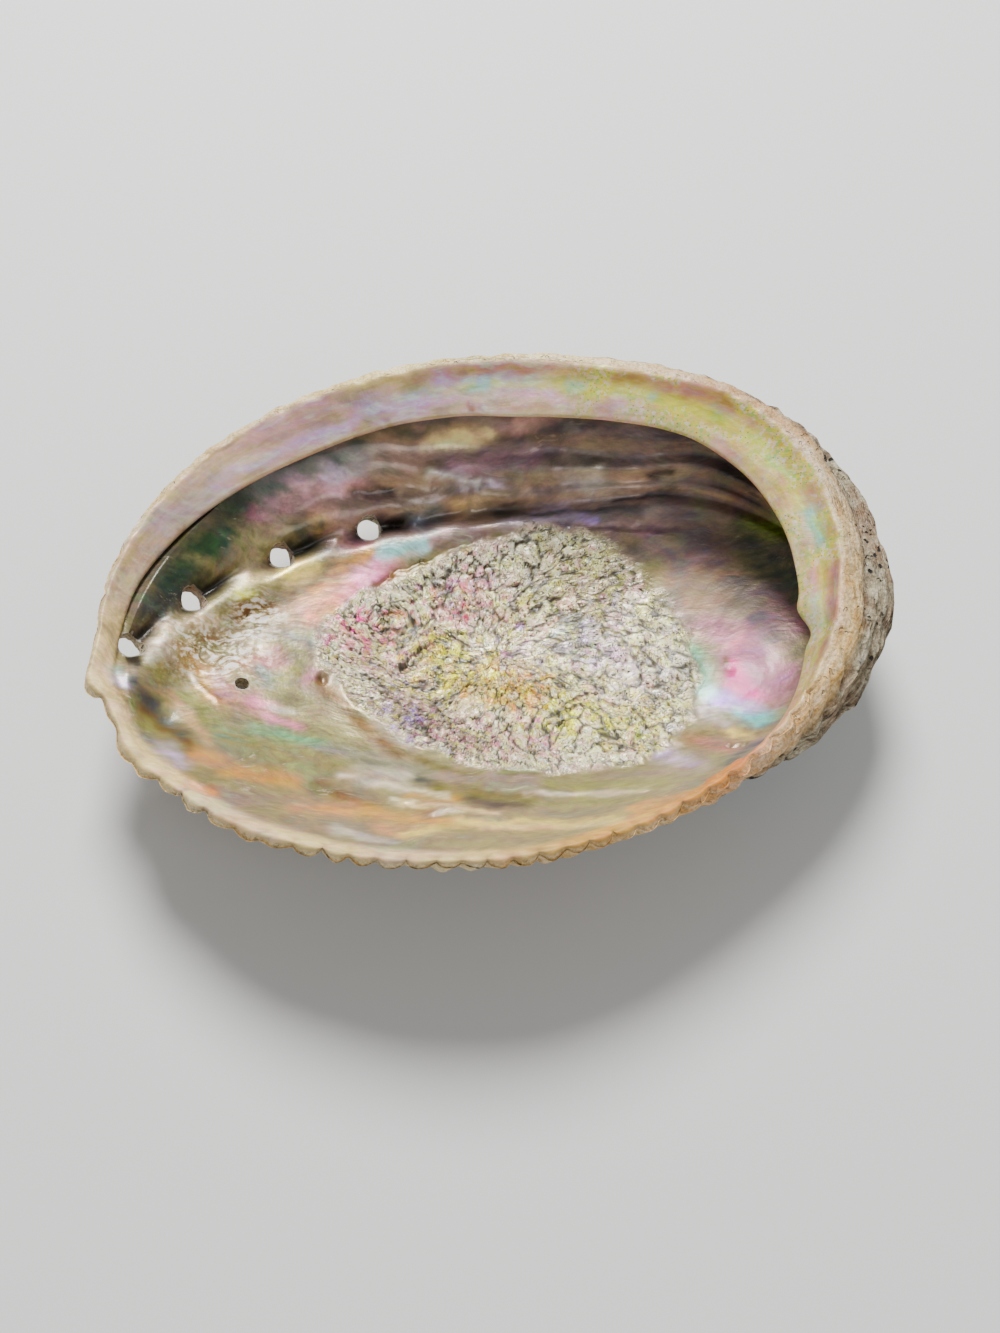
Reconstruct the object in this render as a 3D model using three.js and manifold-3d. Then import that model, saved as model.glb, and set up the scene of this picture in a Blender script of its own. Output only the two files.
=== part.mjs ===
// Abalone shell lying on its back with its mouth up.
// Millimetres, +Z up. The spire end points along +X and the broad pearly shelf is on the +Y side.
// The origin is the lowest point of the back, on the worn spot that the shell rests on.
import * as THREE from "three";
import { ParametricGeometry } from "three/addons/geometries/ParametricGeometry.js";
import { ImprovedNoise } from "three/addons/math/ImprovedNoise.js";
import { mergeVertices } from "three/addons/utils/BufferGeometryUtils.js";
import Module from "manifold-3d";

const wasm = await Module();
wasm.setup();

const { clamp, degToRad, lerp, smoothstep } = THREE.MathUtils;
const TURN = 2 * Math.PI;

// Sections of the shell every 20 degrees round the mouth, counter-clockwise from the spire end.
const SECTION_STEP = degToRad(20);
const RIM_RADIUS = [67.2, 69.2, 66.8, 58.8, 54.9, 55.2, 57.8, 64.6, 72.6, 78, 77, 71.2, 64.4, 59.8, 57.4, 57, 58.8, 62.8];
const RIM_HEIGHT = [35, 36.3, 38, 38.5, 38.2, 37, 36, 33.3, 30.5, 28, 28, 30.8, 33, 34.4, 34, 32.5, 32, 33.2];
// Degrees that a section's arc turns through from the floor to the rim: over 90 the wall curls back inwards.
const WALL_SWEEP = [119, 116, 109, 102, 98, 96, 92, 84, 74, 68, 64, 60, 58, 57, 60, 72, 95, 113];
// How far the pearly shelf reaches in from the rim, and how much of an overhanging shelf there is (0 to 1).
const SHELF_WIDTH = [8.6, 10.8, 12, 11.6, 11.8, 11, 10.2, 10.4, 8.4, 5, 3, 3, 3, 3, 3, 3, 4, 6.5];
const SHELF_SHARE = [1, 1, 1, 1, 1, 1, 1, 0.95, 0.75, 0.3, 0, 0, 0, 0, 0, 0, 0.12, 0.62];

// Wall thickness at the floor, on the side walls and at the growing lip.
const FLOOR_THICKNESS = 4;
const WALL_THICKNESS = 3.4;
const LIP_THICKNESS = 1.8;

// The shelf falls inwards by this much, has an edge this thick, and hangs this far over the wall below it.
const SHELF_DROP = 5;
const SHELF_EDGE = 1.3;
const SHELF_OVERHANG = 3.4;

// The shell grows as a spiral: each older lip is the rim shrunk towards the spire and turned back.
const SPIRE = { x: 0.4, y: -0.089 }; // on the unit disc that the shell's back is mapped from
const GROWTH_RATE = 0.75; // natural log of the size gained per radian of turn

// Ribs follow the growth, stand closest together on the near lip and are strongest there.
const RIB_COUNT = 62;
const RIB_HEIGHT = 0.8;
const FAINT_RIBS = 0.3;
const RIB_CROWDING = 0.25;
const NEAR_LIP = degToRad(262);

// The row of breathing holes, by their age as radians of turn back from the rim.
const HOLE_ROW = degToRad(193.5);
const OPEN_HOLES = [0.1, 0.25, 0.44, 0.64];
const CLOSED_HOLES = [0.8, 0.96, 1.13, 1.3, 1.47, 1.64];
const HOLE_RADIUS = 2.3;
const KEEL_HEIGHT = 1.7;
const KEEL_WIDTH = 0.1; // radians of rim on each side
const SPOUT = 1.9; // how far the lip juts out at the end of the row
const BORED_HOLE = { x: -0.587, y: -0.13, radius: 1.2 }; // on the same disc

// Spire: the swelling of the early whorls and the groove between them.
const SPIRE_RADIUS = 0.2;
const SPIRE_SWELL = 3;
const WHORL_HEIGHT = 1.5;
const WHORL_RATE = 0.33;

// The rough muscle scar in the middle of the floor.
const SCAR = { x: 1, y: 0, length: 78, width: 60, lift: 0.9, roughness: 1.5 };

const REST_WEAR = 0.8; // how deep the back is worn flat where the shell rests

// Rows of the mesh: old lips over the back, then over the rim, then down the inner wall to the floor's middle.
// Fewer points go round a row as it closes in on the spire or on the middle of the floor.
const POINTS_AROUND = 2 * RIB_COUNT;
const OLD_LIPS = [0, 0.03, 0.07, 0.115, 0.165, 0.22, 0.28, 0.345, 0.415, 0.485, 0.555, 0.63, 0.705, 0.78, 0.855, 0.93, 1];
const BACK_ROWS = OLD_LIPS.length - 1;
const RIM_ROWS = 7;
const FLOOR_ROWS = 20;
const ROWS = BACK_ROWS + RIM_ROWS + FLOOR_ROWS;

const noise = new ImprovedNoise();
const rough = (x, y, z, grain) => noise.noise(x / grain + 31.7, y / grain + 17.3, z / grain + 5.1);
const wrap = (angle) => Math.atan2(Math.sin(angle), Math.cos(angle));
const bell = (distance, width) => Math.exp(-((distance / width) ** 2));

// Smooth curve through the values of a section list, at any azimuth.
function atAzimuth(values, azimuth) {
  const place = (((azimuth / SECTION_STEP) % values.length) + values.length) % values.length;
  const first = Math.floor(place);
  const t = place - first;
  const [a, b, c, d] = [-1, 0, 1, 2].map((k) => values[(first + k + values.length) % values.length]);
  return b + 0.5 * t * (c - a + t * (2 * a - 5 * b + 4 * c - d + t * (3 * (b - c) + d - a)));
}

const shelfShare = (azimuth) => clamp(atAzimuth(SHELF_SHARE, azimuth), 0, 1);

// The mesh has more points on the near lip than on the far side.
function rimAzimuth(around) {
  const even = TURN * around;
  return even - RIB_CROWDING * Math.sin(even - NEAR_LIP);
}

// The smooth back of the shell over the unit disc: 0 is the lowest point and 1 the rim.
function smoothBack(x, y) {
  const reach = Math.hypot(x, y);
  const azimuth = Math.atan2(y, x);
  const sweep = degToRad(atAzimuth(WALL_SWEEP, azimuth));
  const angle = reach * sweep;
  const spout = SPOUT * bell(wrap(azimuth - HOLE_ROW), 0.065) * smoothstep(reach, 0.86, 1);
  const radius = (atAzimuth(RIM_RADIUS, azimuth) * Math.sin(angle)) / Math.sin(sweep) + spout;
  const height = (atAzimuth(RIM_HEIGHT, azimuth) * (1 - Math.cos(angle))) / (1 - Math.cos(sweep));
  return new THREE.Vector3(radius * Math.cos(azimuth), radius * Math.sin(azimuth), height + 0.4 * spout);
}

// Outward normal of the smooth back, from neighbouring points of the disc.
function backNormal(x, y) {
  const step = 0.004;
  const along = smoothBack(x + step, y).sub(smoothBack(x - step, y));
  const across = smoothBack(x, y + step).sub(smoothBack(x, y - step));
  return across.cross(along).normalize();
}

// Where a point of the rim was on the disc when the shell was this size (1 is now).
function grownFrom(azimuth, size) {
  const turn = Math.log(Math.max(size, 1e-6)) / GROWTH_RATE;
  const dx = Math.cos(azimuth) - SPIRE.x;
  const dy = Math.sin(azimuth) - SPIRE.y;
  return {
    x: SPIRE.x + size * (dx * Math.cos(turn) - dy * Math.sin(turn)),
    y: SPIRE.y + size * (dx * Math.sin(turn) + dy * Math.cos(turn)),
  };
}

// The age of a point of the disc and the azimuth of rim that laid it down.
function growthAt(x, y) {
  const dx = x - SPIRE.x;
  const dy = y - SPIRE.y;
  let [young, old] = [0, 12];
  let lip = { x, y };
  while (old - young > 1e-8) {
    const age = (young + old) / 2;
    const swell = Math.exp(GROWTH_RATE * age);
    lip = {
      x: SPIRE.x + swell * (dx * Math.cos(age) - dy * Math.sin(age)),
      y: SPIRE.y + swell * (dx * Math.sin(age) + dy * Math.cos(age)),
    };
    if (Math.hypot(lip.x, lip.y) < 1) young = age;
    else old = age;
  }
  return { age: young, azimuth: Math.atan2(lip.y, lip.x) };
}

// Forms that both faces of the wall share: the keel under the holes, the furrow beside it, and the spire.
function sharedRelief(x, y) {
  const { age, azimuth } = growthAt(x, y);
  const keel = KEEL_HEIGHT * bell(wrap(azimuth - HOLE_ROW), KEEL_WIDTH) * (1 - smoothstep(age, 1.4, 2.6));
  const ridge = 1.2 * bell(wrap(azimuth - HOLE_ROW - 0.08), 0.06);
  const furrow = (2.2 * bell(wrap(azimuth - HOLE_ROW - 0.24), 0.1) - ridge) * (1 - smoothstep(age, 0.15, 0.8));
  const swell = SPIRE_SWELL * bell(Math.hypot(x - SPIRE.x, y - SPIRE.y), SPIRE_RADIUS);
  return keel + furrow + swell;
}

// Whorls of the spire: rounded bands between the turns of a spiral groove.
function whorls(x, y) {
  const distance = Math.hypot(x - SPIRE.x, y - SPIRE.y) + 1e-4;
  const bearing = Math.atan2(y - SPIRE.y, x - SPIRE.x);
  const turns = (Math.log(distance / SPIRE_RADIUS) / WHORL_RATE - bearing) / TURN;
  const across = turns - Math.floor(turns);
  const band = Math.sqrt(Math.max(0, 1 - (2 * across - 1) ** 2)) - 0.6;
  const size = Math.min(1, distance / SPIRE_RADIUS);
  return WHORL_HEIGHT * band * size * (1 - smoothstep(distance, 0.85 * SPIRE_RADIUS, 1.25 * SPIRE_RADIUS));
}

// Ribs, growth steps and the crust of the oldest part, raised from the smooth back.
function outerRelief(x, y, around, size, place) {
  const crown = Math.round(around * POINTS_AROUND) % 2 === 0 ? 0.5 : -0.5;
  const strength = lerp(FAINT_RIBS, 1, smoothstep(Math.cos(rimAzimuth(around) - NEAR_LIP), -0.2, 0.6));
  const ribs = RIB_HEIGHT * crown * strength * smoothstep(size, 0.3, 0.7);
  const steps = 0.35 * Math.sin(size * 55) * smoothstep(size, 0.2, 0.5);
  const lumps = 1.1 * rough(place.x, place.y, place.z, 9) + 0.5 * rough(place.x, place.y, place.z, 4);
  return ribs + steps + lerp(0.25, 1, smoothstep(x, -0.1, 0.6)) * lumps;
}

function outside(around, size) {
  const { x, y } = grownFrom(rimAzimuth(around), size);
  const place = smoothBack(x, y);
  const rise = sharedRelief(x, y) + whorls(x, y) + outerRelief(x, y, around, size, place);
  place.addScaledVector(backNormal(x, y), rise);
  place.z = Math.max(0, place.z - REST_WEAR);
  return place;
}

// The muscle scar stands a little proud of the floor and is covered in lumps.
function scarRelief(place) {
  const reach = Math.hypot((2 * (place.x - SCAR.x)) / SCAR.length, (2 * (place.y - SCAR.y)) / SCAR.width);
  const lumps = rough(place.x, place.y, 0, 8) + 0.5 * rough(place.x, place.y, 9, 4.5);
  return (1 - smoothstep(reach, 0.92, 1.06)) * (SCAR.lift + SCAR.roughness * lumps);
}

// The pearly inner face over the same disc, one wall thickness in from the back.
function inside(azimuth, reach) {
  const x = reach * Math.cos(azimuth);
  const y = reach * Math.sin(azimuth);
  const place = smoothBack(x, y);
  const out = backNormal(x, y);
  const wall = lerp(FLOOR_THICKNESS, WALL_THICKNESS, smoothstep(reach, 0.2, 0.6));
  const thickness = lerp(wall, LIP_THICKNESS, smoothstep(reach, 0.8, 1));
  const relief = sharedRelief(x, y) * (1 - 0.5 * smoothstep(reach, 0.85, 1));
  place.addScaledVector(out, relief - thickness);
  place.z -= REST_WEAR;
  const swirl = 0.7 * rough(place.x, place.y, place.z, 16);
  return place.addScaledVector(out, -scarRelief(place) - swirl);
}

const wallTop = (azimuth) => lerp(0.93, 0.82, shelfShare(azimuth));

// The plain lip, which is as thin as it grew, from its outer edge (row 0) to the inner wall.
function lipRow(around, row) {
  const azimuth = rimAzimuth(around);
  if (row > 2) return inside(azimuth, lerp(1, wallTop(azimuth), (row - 2) / (RIM_ROWS - 2)));
  const inner = inside(azimuth, 1);
  const edge = outside(around, 1).lerp(inner, row / 3);
  edge.z += 0.45 * Math.sin((Math.PI * row) / 3);
  return edge;
}

// The shelf: [in from the rim, up from the rim] of its crest, slope, sharp edge and underside.
function shelfProfile(width) {
  return [
    [0, 0],
    [1.1, 0.5],
    [2.3, 0.2],
    [0.58 * width, -0.5 * SHELF_DROP],
    [width, -SHELF_DROP],
    [width - 0.2, -SHELF_DROP - SHELF_EDGE],
    [width - SHELF_OVERHANG, -SHELF_DROP - SHELF_EDGE - 1.4],
  ];
}

// The shelf is smooth, so the ribs of the rim die out over its crest.
function shelfRow(around, row) {
  const azimuth = rimAzimuth(around);
  if (row === RIM_ROWS) return inside(azimuth, wallTop(azimuth));
  const smoothRim = smoothBack(Math.cos(azimuth), Math.sin(azimuth));
  smoothRim.z -= REST_WEAR;
  const place = outside(around, 1).lerp(smoothRim, smoothstep(row, 0, 3));
  const wave = 0.5 * smoothstep(row, 1, 3) * rough(smoothRim.x, smoothRim.y, row, 14);
  const [reach, rise] = shelfProfile(atAzimuth(SHELF_WIDTH, azimuth))[row];
  place.x -= (reach + wave) * Math.cos(azimuth);
  place.y -= (reach + wave) * Math.sin(azimuth);
  place.z += rise;
  return place;
}

// Neighbouring points of a coarser row fall together and are merged later.
function coarser(around, size) {
  const points = POINTS_AROUND / (size > 0.5 ? 1 : size > 0.2 ? 2 : 4);
  return Math.floor(around * points + 1e-9) / points;
}

function surface(around, along, target) {
  const turn = around === 1 ? 0 : around;
  const row = Math.round(along * ROWS);
  if (row <= BACK_ROWS) {
    const size = OLD_LIPS[row];
    return target.copy(outside(coarser(turn, 1.6 * size), size));
  }
  const rimRow = row - BACK_ROWS;
  if (rimRow <= RIM_ROWS) return target.copy(lipRow(turn, rimRow).lerp(shelfRow(turn, rimRow), shelfShare(rimAzimuth(turn))));
  const down = (rimRow - RIM_ROWS) / FLOOR_ROWS;
  const azimuth = rimAzimuth(coarser(turn, 1 - down));
  return target.copy(inside(azimuth, wallTop(azimuth) * (1 - down)));
}

// A closed three.js geometry as a manifold-3d solid, and back.
function toSolid(geometry) {
  const bare = geometry.clone();
  bare.deleteAttribute("normal");
  bare.deleteAttribute("uv");
  const merged = mergeVertices(bare, 1e-4);
  const corners = [];
  const index = merged.index.array;
  for (let k = 0; k < index.length; k += 3) {
    const [a, b, c] = index.subarray(k, k + 3);
    if (a !== b && b !== c && c !== a) corners.push(a, b, c);
  }
  const vertProperties = merged.attributes.position.array;
  return new wasm.Manifold(new wasm.Mesh({ numProp: 3, vertProperties, triVerts: new Uint32Array(corners) }));
}

function toGeometry(solid) {
  const mesh = solid.getMesh();
  const geometry = new THREE.BufferGeometry();
  geometry.setAttribute("position", new THREE.BufferAttribute(mesh.vertProperties, 3));
  geometry.setIndex(new THREE.BufferAttribute(mesh.triVerts, 1));
  geometry.computeVertexNormals();
  return geometry;
}

// A round cone through the wall at a point of the disc, from a depth under the back to a height over it.
function coneAt({ x, y }, { baseRadius, topRadius, depth, height, sides }) {
  const out = backNormal(x, y);
  const foot = smoothBack(x, y).addScaledVector(out, sharedRelief(x, y) - depth);
  foot.z -= REST_WEAR;
  const cone = new THREE.CylinderGeometry(topRadius, baseRadius, depth + height, sides);
  cone.translate(0, (depth + height) / 2, 0);
  cone.applyQuaternion(new THREE.Quaternion().setFromUnitVectors(new THREE.Vector3(0, 1, 0), out));
  cone.translate(foot.x, foot.y, foot.z);
  return toSolid(cone);
}

const closedKnob = { baseRadius: 4.4, topRadius: 1.6, depth: 1.5, height: 1, sides: 8 };
const openChimney = { baseRadius: 5.2, topRadius: 3.4, depth: 1.5, height: 1, sides: 12 };
const bore = (radius) => ({ baseRadius: radius + 0.4, topRadius: radius, depth: 12, height: 8, sides: 12 });

function buildShell() {
  let shell = toSolid(new ParametricGeometry(surface, POINTS_AROUND, ROWS));
  const onHoleRow = (age) => grownFrom(HOLE_ROW, Math.exp(-GROWTH_RATE * age));
  for (const age of CLOSED_HOLES) shell = shell.add(coneAt(onHoleRow(age), closedKnob));
  for (const age of OPEN_HOLES) {
    shell = shell.add(coneAt(onHoleRow(age), openChimney));
    shell = shell.subtract(coneAt(onHoleRow(age), bore(HOLE_RADIUS)));
  }
  return toGeometry(shell.subtract(coneAt(BORED_HOLE, bore(BORED_HOLE.radius))));
}

const pearlAndCrust = new THREE.MeshStandardMaterial({ color: 0xb3a794, roughness: 0.35, metalness: 0.25 });
const shell = new THREE.Mesh(buildShell(), pearlAndCrust);
shell.name = "shell";

const abalone = new THREE.Group();
abalone.add(shell);

export default abalone;
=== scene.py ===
import math

import bmesh
import bpy
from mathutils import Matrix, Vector, noise


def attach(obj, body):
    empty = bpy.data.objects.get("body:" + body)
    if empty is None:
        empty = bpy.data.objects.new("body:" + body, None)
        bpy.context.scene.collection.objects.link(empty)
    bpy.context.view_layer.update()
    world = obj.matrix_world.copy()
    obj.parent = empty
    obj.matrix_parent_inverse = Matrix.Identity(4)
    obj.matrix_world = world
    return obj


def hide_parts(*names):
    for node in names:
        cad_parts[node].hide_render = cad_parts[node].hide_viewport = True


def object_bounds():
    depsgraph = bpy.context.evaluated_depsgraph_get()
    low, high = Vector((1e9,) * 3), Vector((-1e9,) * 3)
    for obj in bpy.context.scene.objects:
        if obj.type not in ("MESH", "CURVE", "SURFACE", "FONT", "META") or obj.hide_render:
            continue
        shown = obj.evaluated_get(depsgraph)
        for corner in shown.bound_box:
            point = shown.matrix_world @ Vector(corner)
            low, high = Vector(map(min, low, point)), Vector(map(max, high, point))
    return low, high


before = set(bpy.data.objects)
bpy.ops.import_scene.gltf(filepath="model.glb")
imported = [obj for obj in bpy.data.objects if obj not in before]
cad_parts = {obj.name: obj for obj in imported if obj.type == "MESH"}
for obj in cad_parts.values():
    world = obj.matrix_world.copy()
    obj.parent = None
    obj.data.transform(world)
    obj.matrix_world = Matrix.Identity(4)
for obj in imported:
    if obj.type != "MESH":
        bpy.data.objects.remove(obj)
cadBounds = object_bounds()
mm = 0.001
turn = 2 * math.pi
noise.seed_set(12)  # noise_vector would otherwise start from the clock and differ at every run

# the shell's form in millimetres and degrees; each list runs every 20 degrees round the mouth from the spire end
shell = {
    "rimRadius": [67.2, 69.2, 66.8, 58.8, 54.9, 55.2, 57.8, 64.6, 72.6,
                  78, 77, 71.2, 64.4, 59.8, 57.4, 57, 58.8, 62.8],
    "rimHeight": [35, 36.3, 38, 38.5, 38.2, 37, 36, 33.3, 30.5, 28, 28, 30.8, 33, 34.4, 34, 32.5, 32, 33.2],
    "wallSweep": [119, 116, 109, 102, 98, 96, 92, 84, 74, 68, 64, 60, 58, 57, 60, 72, 95, 113],
    "shelfWidth": [8.6, 10.8, 12, 11.6, 11.8, 11, 10.2, 10.4, 8.4, 5, 3, 3, 3, 3, 3, 3, 4, 6.5],
    "shelfShare": [1, 1, 1, 1, 1, 1, 1, 0.95, 0.75, 0.3, 0, 0, 0, 0, 0, 0, 0.12, 0.62],
    "floorThickness": 4, "wallThickness": 3.4, "lipThickness": 2.3,
    "shelfDrop": 5, "shelfEdge": 1.3, "shelfOverhang": 3.4,
    "spire": (0.4, -0.089),  # on the unit disc that the back is mapped from
    "growthRate": 0.75,      # natural log of the size gained per radian of turn
    "spireRadius": 0.2, "spireSwell": 3, "whorlHeight": 1.5, "whorlRate": 0.33,
    "furrow": (2.2, 0.24, 0.1), "groove": (0.9, 0.09, 0.08),  # height, angle from the hole row, width
    "restWear": 0.8,
}
ribs = {"count": 62, "height": 1.6, "faint": 0.3, "crowding": 0.25, "nearLip": 262}
holes = {
    "row": 193.5, "open": [0.1, 0.25, 0.44, 0.64], "closed": [0.8, 0.96, 1.13, 1.3, 1.47, 1.64],
    "radius": 2.4, "keelHeight": 1.7, "keelWidth": 0.1, "spout": 1.9,
    "dimple": 2.2, "collar": 1.2, "bored": (-0.587, -0.13), "boredRadius": 1.2,
    "perTurn": 133, "perAngle": 77,  # millimetres along and across the row for a radian
}
scar = {
    "centre": (1, 0), "fine": (1, -6), "lift": 0.7, "wrinkle": 0.65, "flake": 3.8,
    "reach": [39.7, 38.2, 36, 33.6, 30.5, 27.6, 27.2, 27.9, 35, 38.4, 33.4, 29.5, 28, 29, 30.4, 35, 39, 40.5],
}
folds = [(181, 0.08, 0.7), (170, 0.08, -0.5), (158, 0.1, 0.6), (143, 0.1, -0.4)]  # degrees, width, height
layers = {  # unevenness in layers of height, grain and shift
    "crust": ((1.1, 9, 31.7), (0.5, 4, 31.7), (0.3, 1.7, 5)), "edge": ((0.45, 2.4, 3), (0.25, 1.1, 3)),
    "shelf": ((0.7, 2.6, 4), (0.4, 1.2, 9)), "pearl": ((0.35, 16, 8), (0.15, 5, 8)),
}
crustForm = {
    "steps": 13, "stepHeight": 0.4, "swells": 55, "swellHeight": 0.35,  # growth steps per radian, swells per size
    "ledges": 30, "ledgeHeight": 0.9, "boring": 2.6, "boringDepth": 0.5, "thin": 0.25,
    "fresh": 0.95, "freshWide": 0.1, "freshAt": 322,  # size where the fresh lip starts, and where it is broadest
}
grid = {"around": 496, "backRows": 48, "floorRows": 150, "rimSteps": [3, 2, 6, 7, 4, 4, 5]}  # eight points to a rib


def smoothStep(value, low, high):
    t = min(1, max(0, (value - low) / (high - low)))
    return t * t * (3 - 2 * t)


def mix(a, b, share):
    return a + (b - a) * share


def bell(distance, width):
    return math.exp(-((distance / width) ** 2))


def wrapTurn(angle):
    return math.atan2(math.sin(angle), math.cos(angle))


def rough(place, grain, shift=0):
    return noise.noise(Vector((place[0] / grain + shift, place[1] / grain + 17.3, place[2] / grain - shift)))


def uneven(place, name):
    return sum(height * rough(place, grain, shift) for height, grain, shift in layers[name])


# a smooth curve from b to c, with a before them and d after
def between(a, b, c, d, t):
    return b + 0.5 * t * (c - a + t * (2 * a - 5 * b + 4 * c - d + t * (3 * (b - c) + d - a)))


# value of a list at any azimuth
def atAzimuth(values, azimuth):
    count = len(values)
    spot = (azimuth / turn * count) % count
    first = int(spot)
    return between(*(values[(first + k) % count] for k in (-1, 0, 1, 2)), spot - first)


def rimAzimuth(part):
    even = turn * part
    return even - ribs["crowding"] * math.sin(even - math.radians(ribs["nearLip"]))


def shelfShare(azimuth):
    return min(1, max(0, atAzimuth(shell["shelfShare"], azimuth)))


# the smooth back over the unit disc: 0 is its lowest point and 1 the rim
def smoothBack(x, y):
    reach, azimuth = math.hypot(x, y), math.atan2(y, x)
    sweep = math.radians(atAzimuth(shell["wallSweep"], azimuth))
    spout = 0
    if reach > 0.86:
        fromRow = wrapTurn(azimuth - math.radians(holes["row"]))
        spout = holes["spout"] * bell(fromRow, 0.065) * smoothStep(reach, 0.86, 1)
    radius = atAzimuth(shell["rimRadius"], azimuth) * math.sin(reach * sweep) / math.sin(sweep) + spout
    height = atAzimuth(shell["rimHeight"], azimuth) * (1 - math.cos(reach * sweep)) / (1 - math.cos(sweep))
    return Vector((radius * math.cos(azimuth), radius * math.sin(azimuth), height + 0.4 * spout))


def backNormal(x, y):
    step = 0.004
    along = smoothBack(x + step, y) - smoothBack(x - step, y)
    across = smoothBack(x, y + step) - smoothBack(x, y - step)
    return across.cross(along).normalized()


# where a point of the rim was on the disc when the shell was this size
def grownFrom(azimuth, size, turnSize=None):
    spin = math.log(max(turnSize or size, 1e-6)) / shell["growthRate"]
    sx, sy = shell["spire"]
    dx, dy = math.cos(azimuth) - sx, math.sin(azimuth) - sy
    return (sx + size * (dx * math.cos(spin) - dy * math.sin(spin)),
            sy + size * (dx * math.sin(spin) + dy * math.cos(spin)))


# age of a point of the disc (radians of growth) and the azimuth of the rim that laid it down
def growthAt(x, y):
    sx, sy = shell["spire"]
    young, old = 0.0, 8.0
    lipX, lipY = x, y
    for k in range(26):
        age = (young + old) / 2
        swell = math.exp(shell["growthRate"] * age)
        c, s = math.cos(age), math.sin(age)
        lipX = sx + swell * ((x - sx) * c - (y - sy) * s)
        lipY = sy + swell * ((x - sx) * s + (y - sy) * c)
        if lipX * lipX + lipY * lipY < 1:
            young = age
        else:
            old = age
    return young, math.atan2(lipY, lipX)


# keel under the holes, the furrow beside it and the swelling of the spire: both faces of the wall have them
def sharedRelief(x, y, age, azimuth):
    fromRow = wrapTurn(azimuth - math.radians(holes["row"]))
    keel = holes["keelHeight"] * bell(fromRow, holes["keelWidth"]) * (1 - smoothStep(age, 1.4, 2.6))
    (high, highAt, highWidth), (low, lowAt, lowWidth) = shell["furrow"], shell["groove"]
    furrow = high * bell(fromRow - highAt, highWidth) - low * bell(fromRow - lowAt, lowWidth)
    sx, sy = shell["spire"]
    swell = shell["spireSwell"] * bell(math.hypot(x - sx, y - sy), shell["spireRadius"])
    return keel + furrow * (1 - smoothStep(age, 0.15, 0.8)) + swell


# millimetres along and across the hole row from a hole of this age
def fromHole(age, azimuth, holeAge):
    scale = math.exp(-shell["growthRate"] * age)
    fromRow = wrapTurn(azimuth - math.radians(holes["row"]))
    return (age - holeAge) * holes["perTurn"] * scale, fromRow * holes["perAngle"] * scale


def whorls(x, y):
    sx, sy = shell["spire"]
    distance = math.hypot(x - sx, y - sy) + 1e-4
    if distance > 1.25 * shell["spireRadius"]:
        return 0
    turns = (math.log(distance / shell["spireRadius"]) / shell["whorlRate"] - math.atan2(y - sy, x - sx)) / turn
    across = turns % 1
    band = math.sqrt(max(0, 1 - (2 * across - 1) ** 2)) - 0.6
    fade = 1 - smoothStep(distance, 0.85 * shell["spireRadius"], 1.25 * shell["spireRadius"])
    return shell["whorlHeight"] * band * min(1, distance / shell["spireRadius"]) * fade


# ribs have round crowns and sharp valleys, and fade towards the shelf side: 0 on a crown
def ribShape(part, age):
    azimuth = rimAzimuth(part)
    phase = ribs["count"] * part + 0.22 * noise.noise(Vector((part * 24, age * 3, 2.5)))
    deep = 1 + 0.7 * noise.noise(Vector((math.floor(phase + 0.5) * 3.7, age * 1.5, 9.1)))
    strength = mix(ribs["faint"], 1, smoothStep(math.cos(azimuth - math.radians(ribs["nearLip"])), -0.2, 0.6))
    return (abs(math.cos(math.pi * phase)) ** 0.7 - 1) * deep * strength


# the fresh lip spreads down the outside on the near right: size on the back where it starts
def freshFrom(azimuth):
    fromMiddle = wrapTurn(azimuth - math.radians(crustForm["freshAt"]))
    return crustForm["fresh"] - crustForm["freshWide"] * bell(fromMiddle, 0.65)


# outside: ribs that follow the growth, growth steps, chimneys of the holes and crust
def backRelief(part, size, x, y, place):
    azimuth = rimAzimuth(part)
    age = -math.log(max(size, 1e-4)) / shell["growthRate"]
    rise = ribs["height"] * (0.3 + ribShape(part, age)) * smoothStep(size, 0.12, 0.6)

    bend = noise.noise(Vector((math.cos(azimuth) * 2, math.sin(azimuth) * 2, age * 2)))
    step = ((age * crustForm["steps"] + 0.9 * bend) % 1) ** 5
    swells = crustForm["swellHeight"] * math.sin(size * crustForm["swells"])
    rise += (crustForm["stepHeight"] * step + swells) * smoothStep(size, 0.2, 0.5)

    for holeAge in holes["open"] + holes["closed"]:
        if abs(age - holeAge) < 0.09:
            along, across = fromHole(age, azimuth, holeAge)
            distance = math.hypot(along, across)
            ring = bell(distance - 3.0, 1.3) if holeAge in holes["open"] else bell(distance, 2.6)
            rise += holes["collar"] * ring * (1.0 if holeAge > 0.12 else 0.5)

    fresh = freshFrom(azimuth)
    crusted = mix(crustForm["thin"], 1, smoothStep(x, -0.1, 0.6))
    crusted *= 1 - 0.6 * smoothStep(size, fresh - 0.03, fresh + 0.02)
    rise += smoothStep(size, 0.9, 0.97) * uneven(place, "edge")
    ledge = crustForm["ledgeHeight"] * ((age * crustForm["ledges"] + 1.5 * rough(place, 8, 6)) % 1) ** 2 - 0.3
    rise += crusted * smoothStep(size, 0.72, 0.85) * (1 - smoothStep(size, 0.97, 1)) * ledge
    boring = smoothStep(0.75 - noise.voronoi(place / crustForm["boring"])[0][0], 0.1, 0.5)
    boring *= crustForm["boringDepth"] * smoothStep(rough(place, 7, 3), 0, 0.3)
    return rise + crusted * (uneven(place, "crust") - boring)


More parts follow.
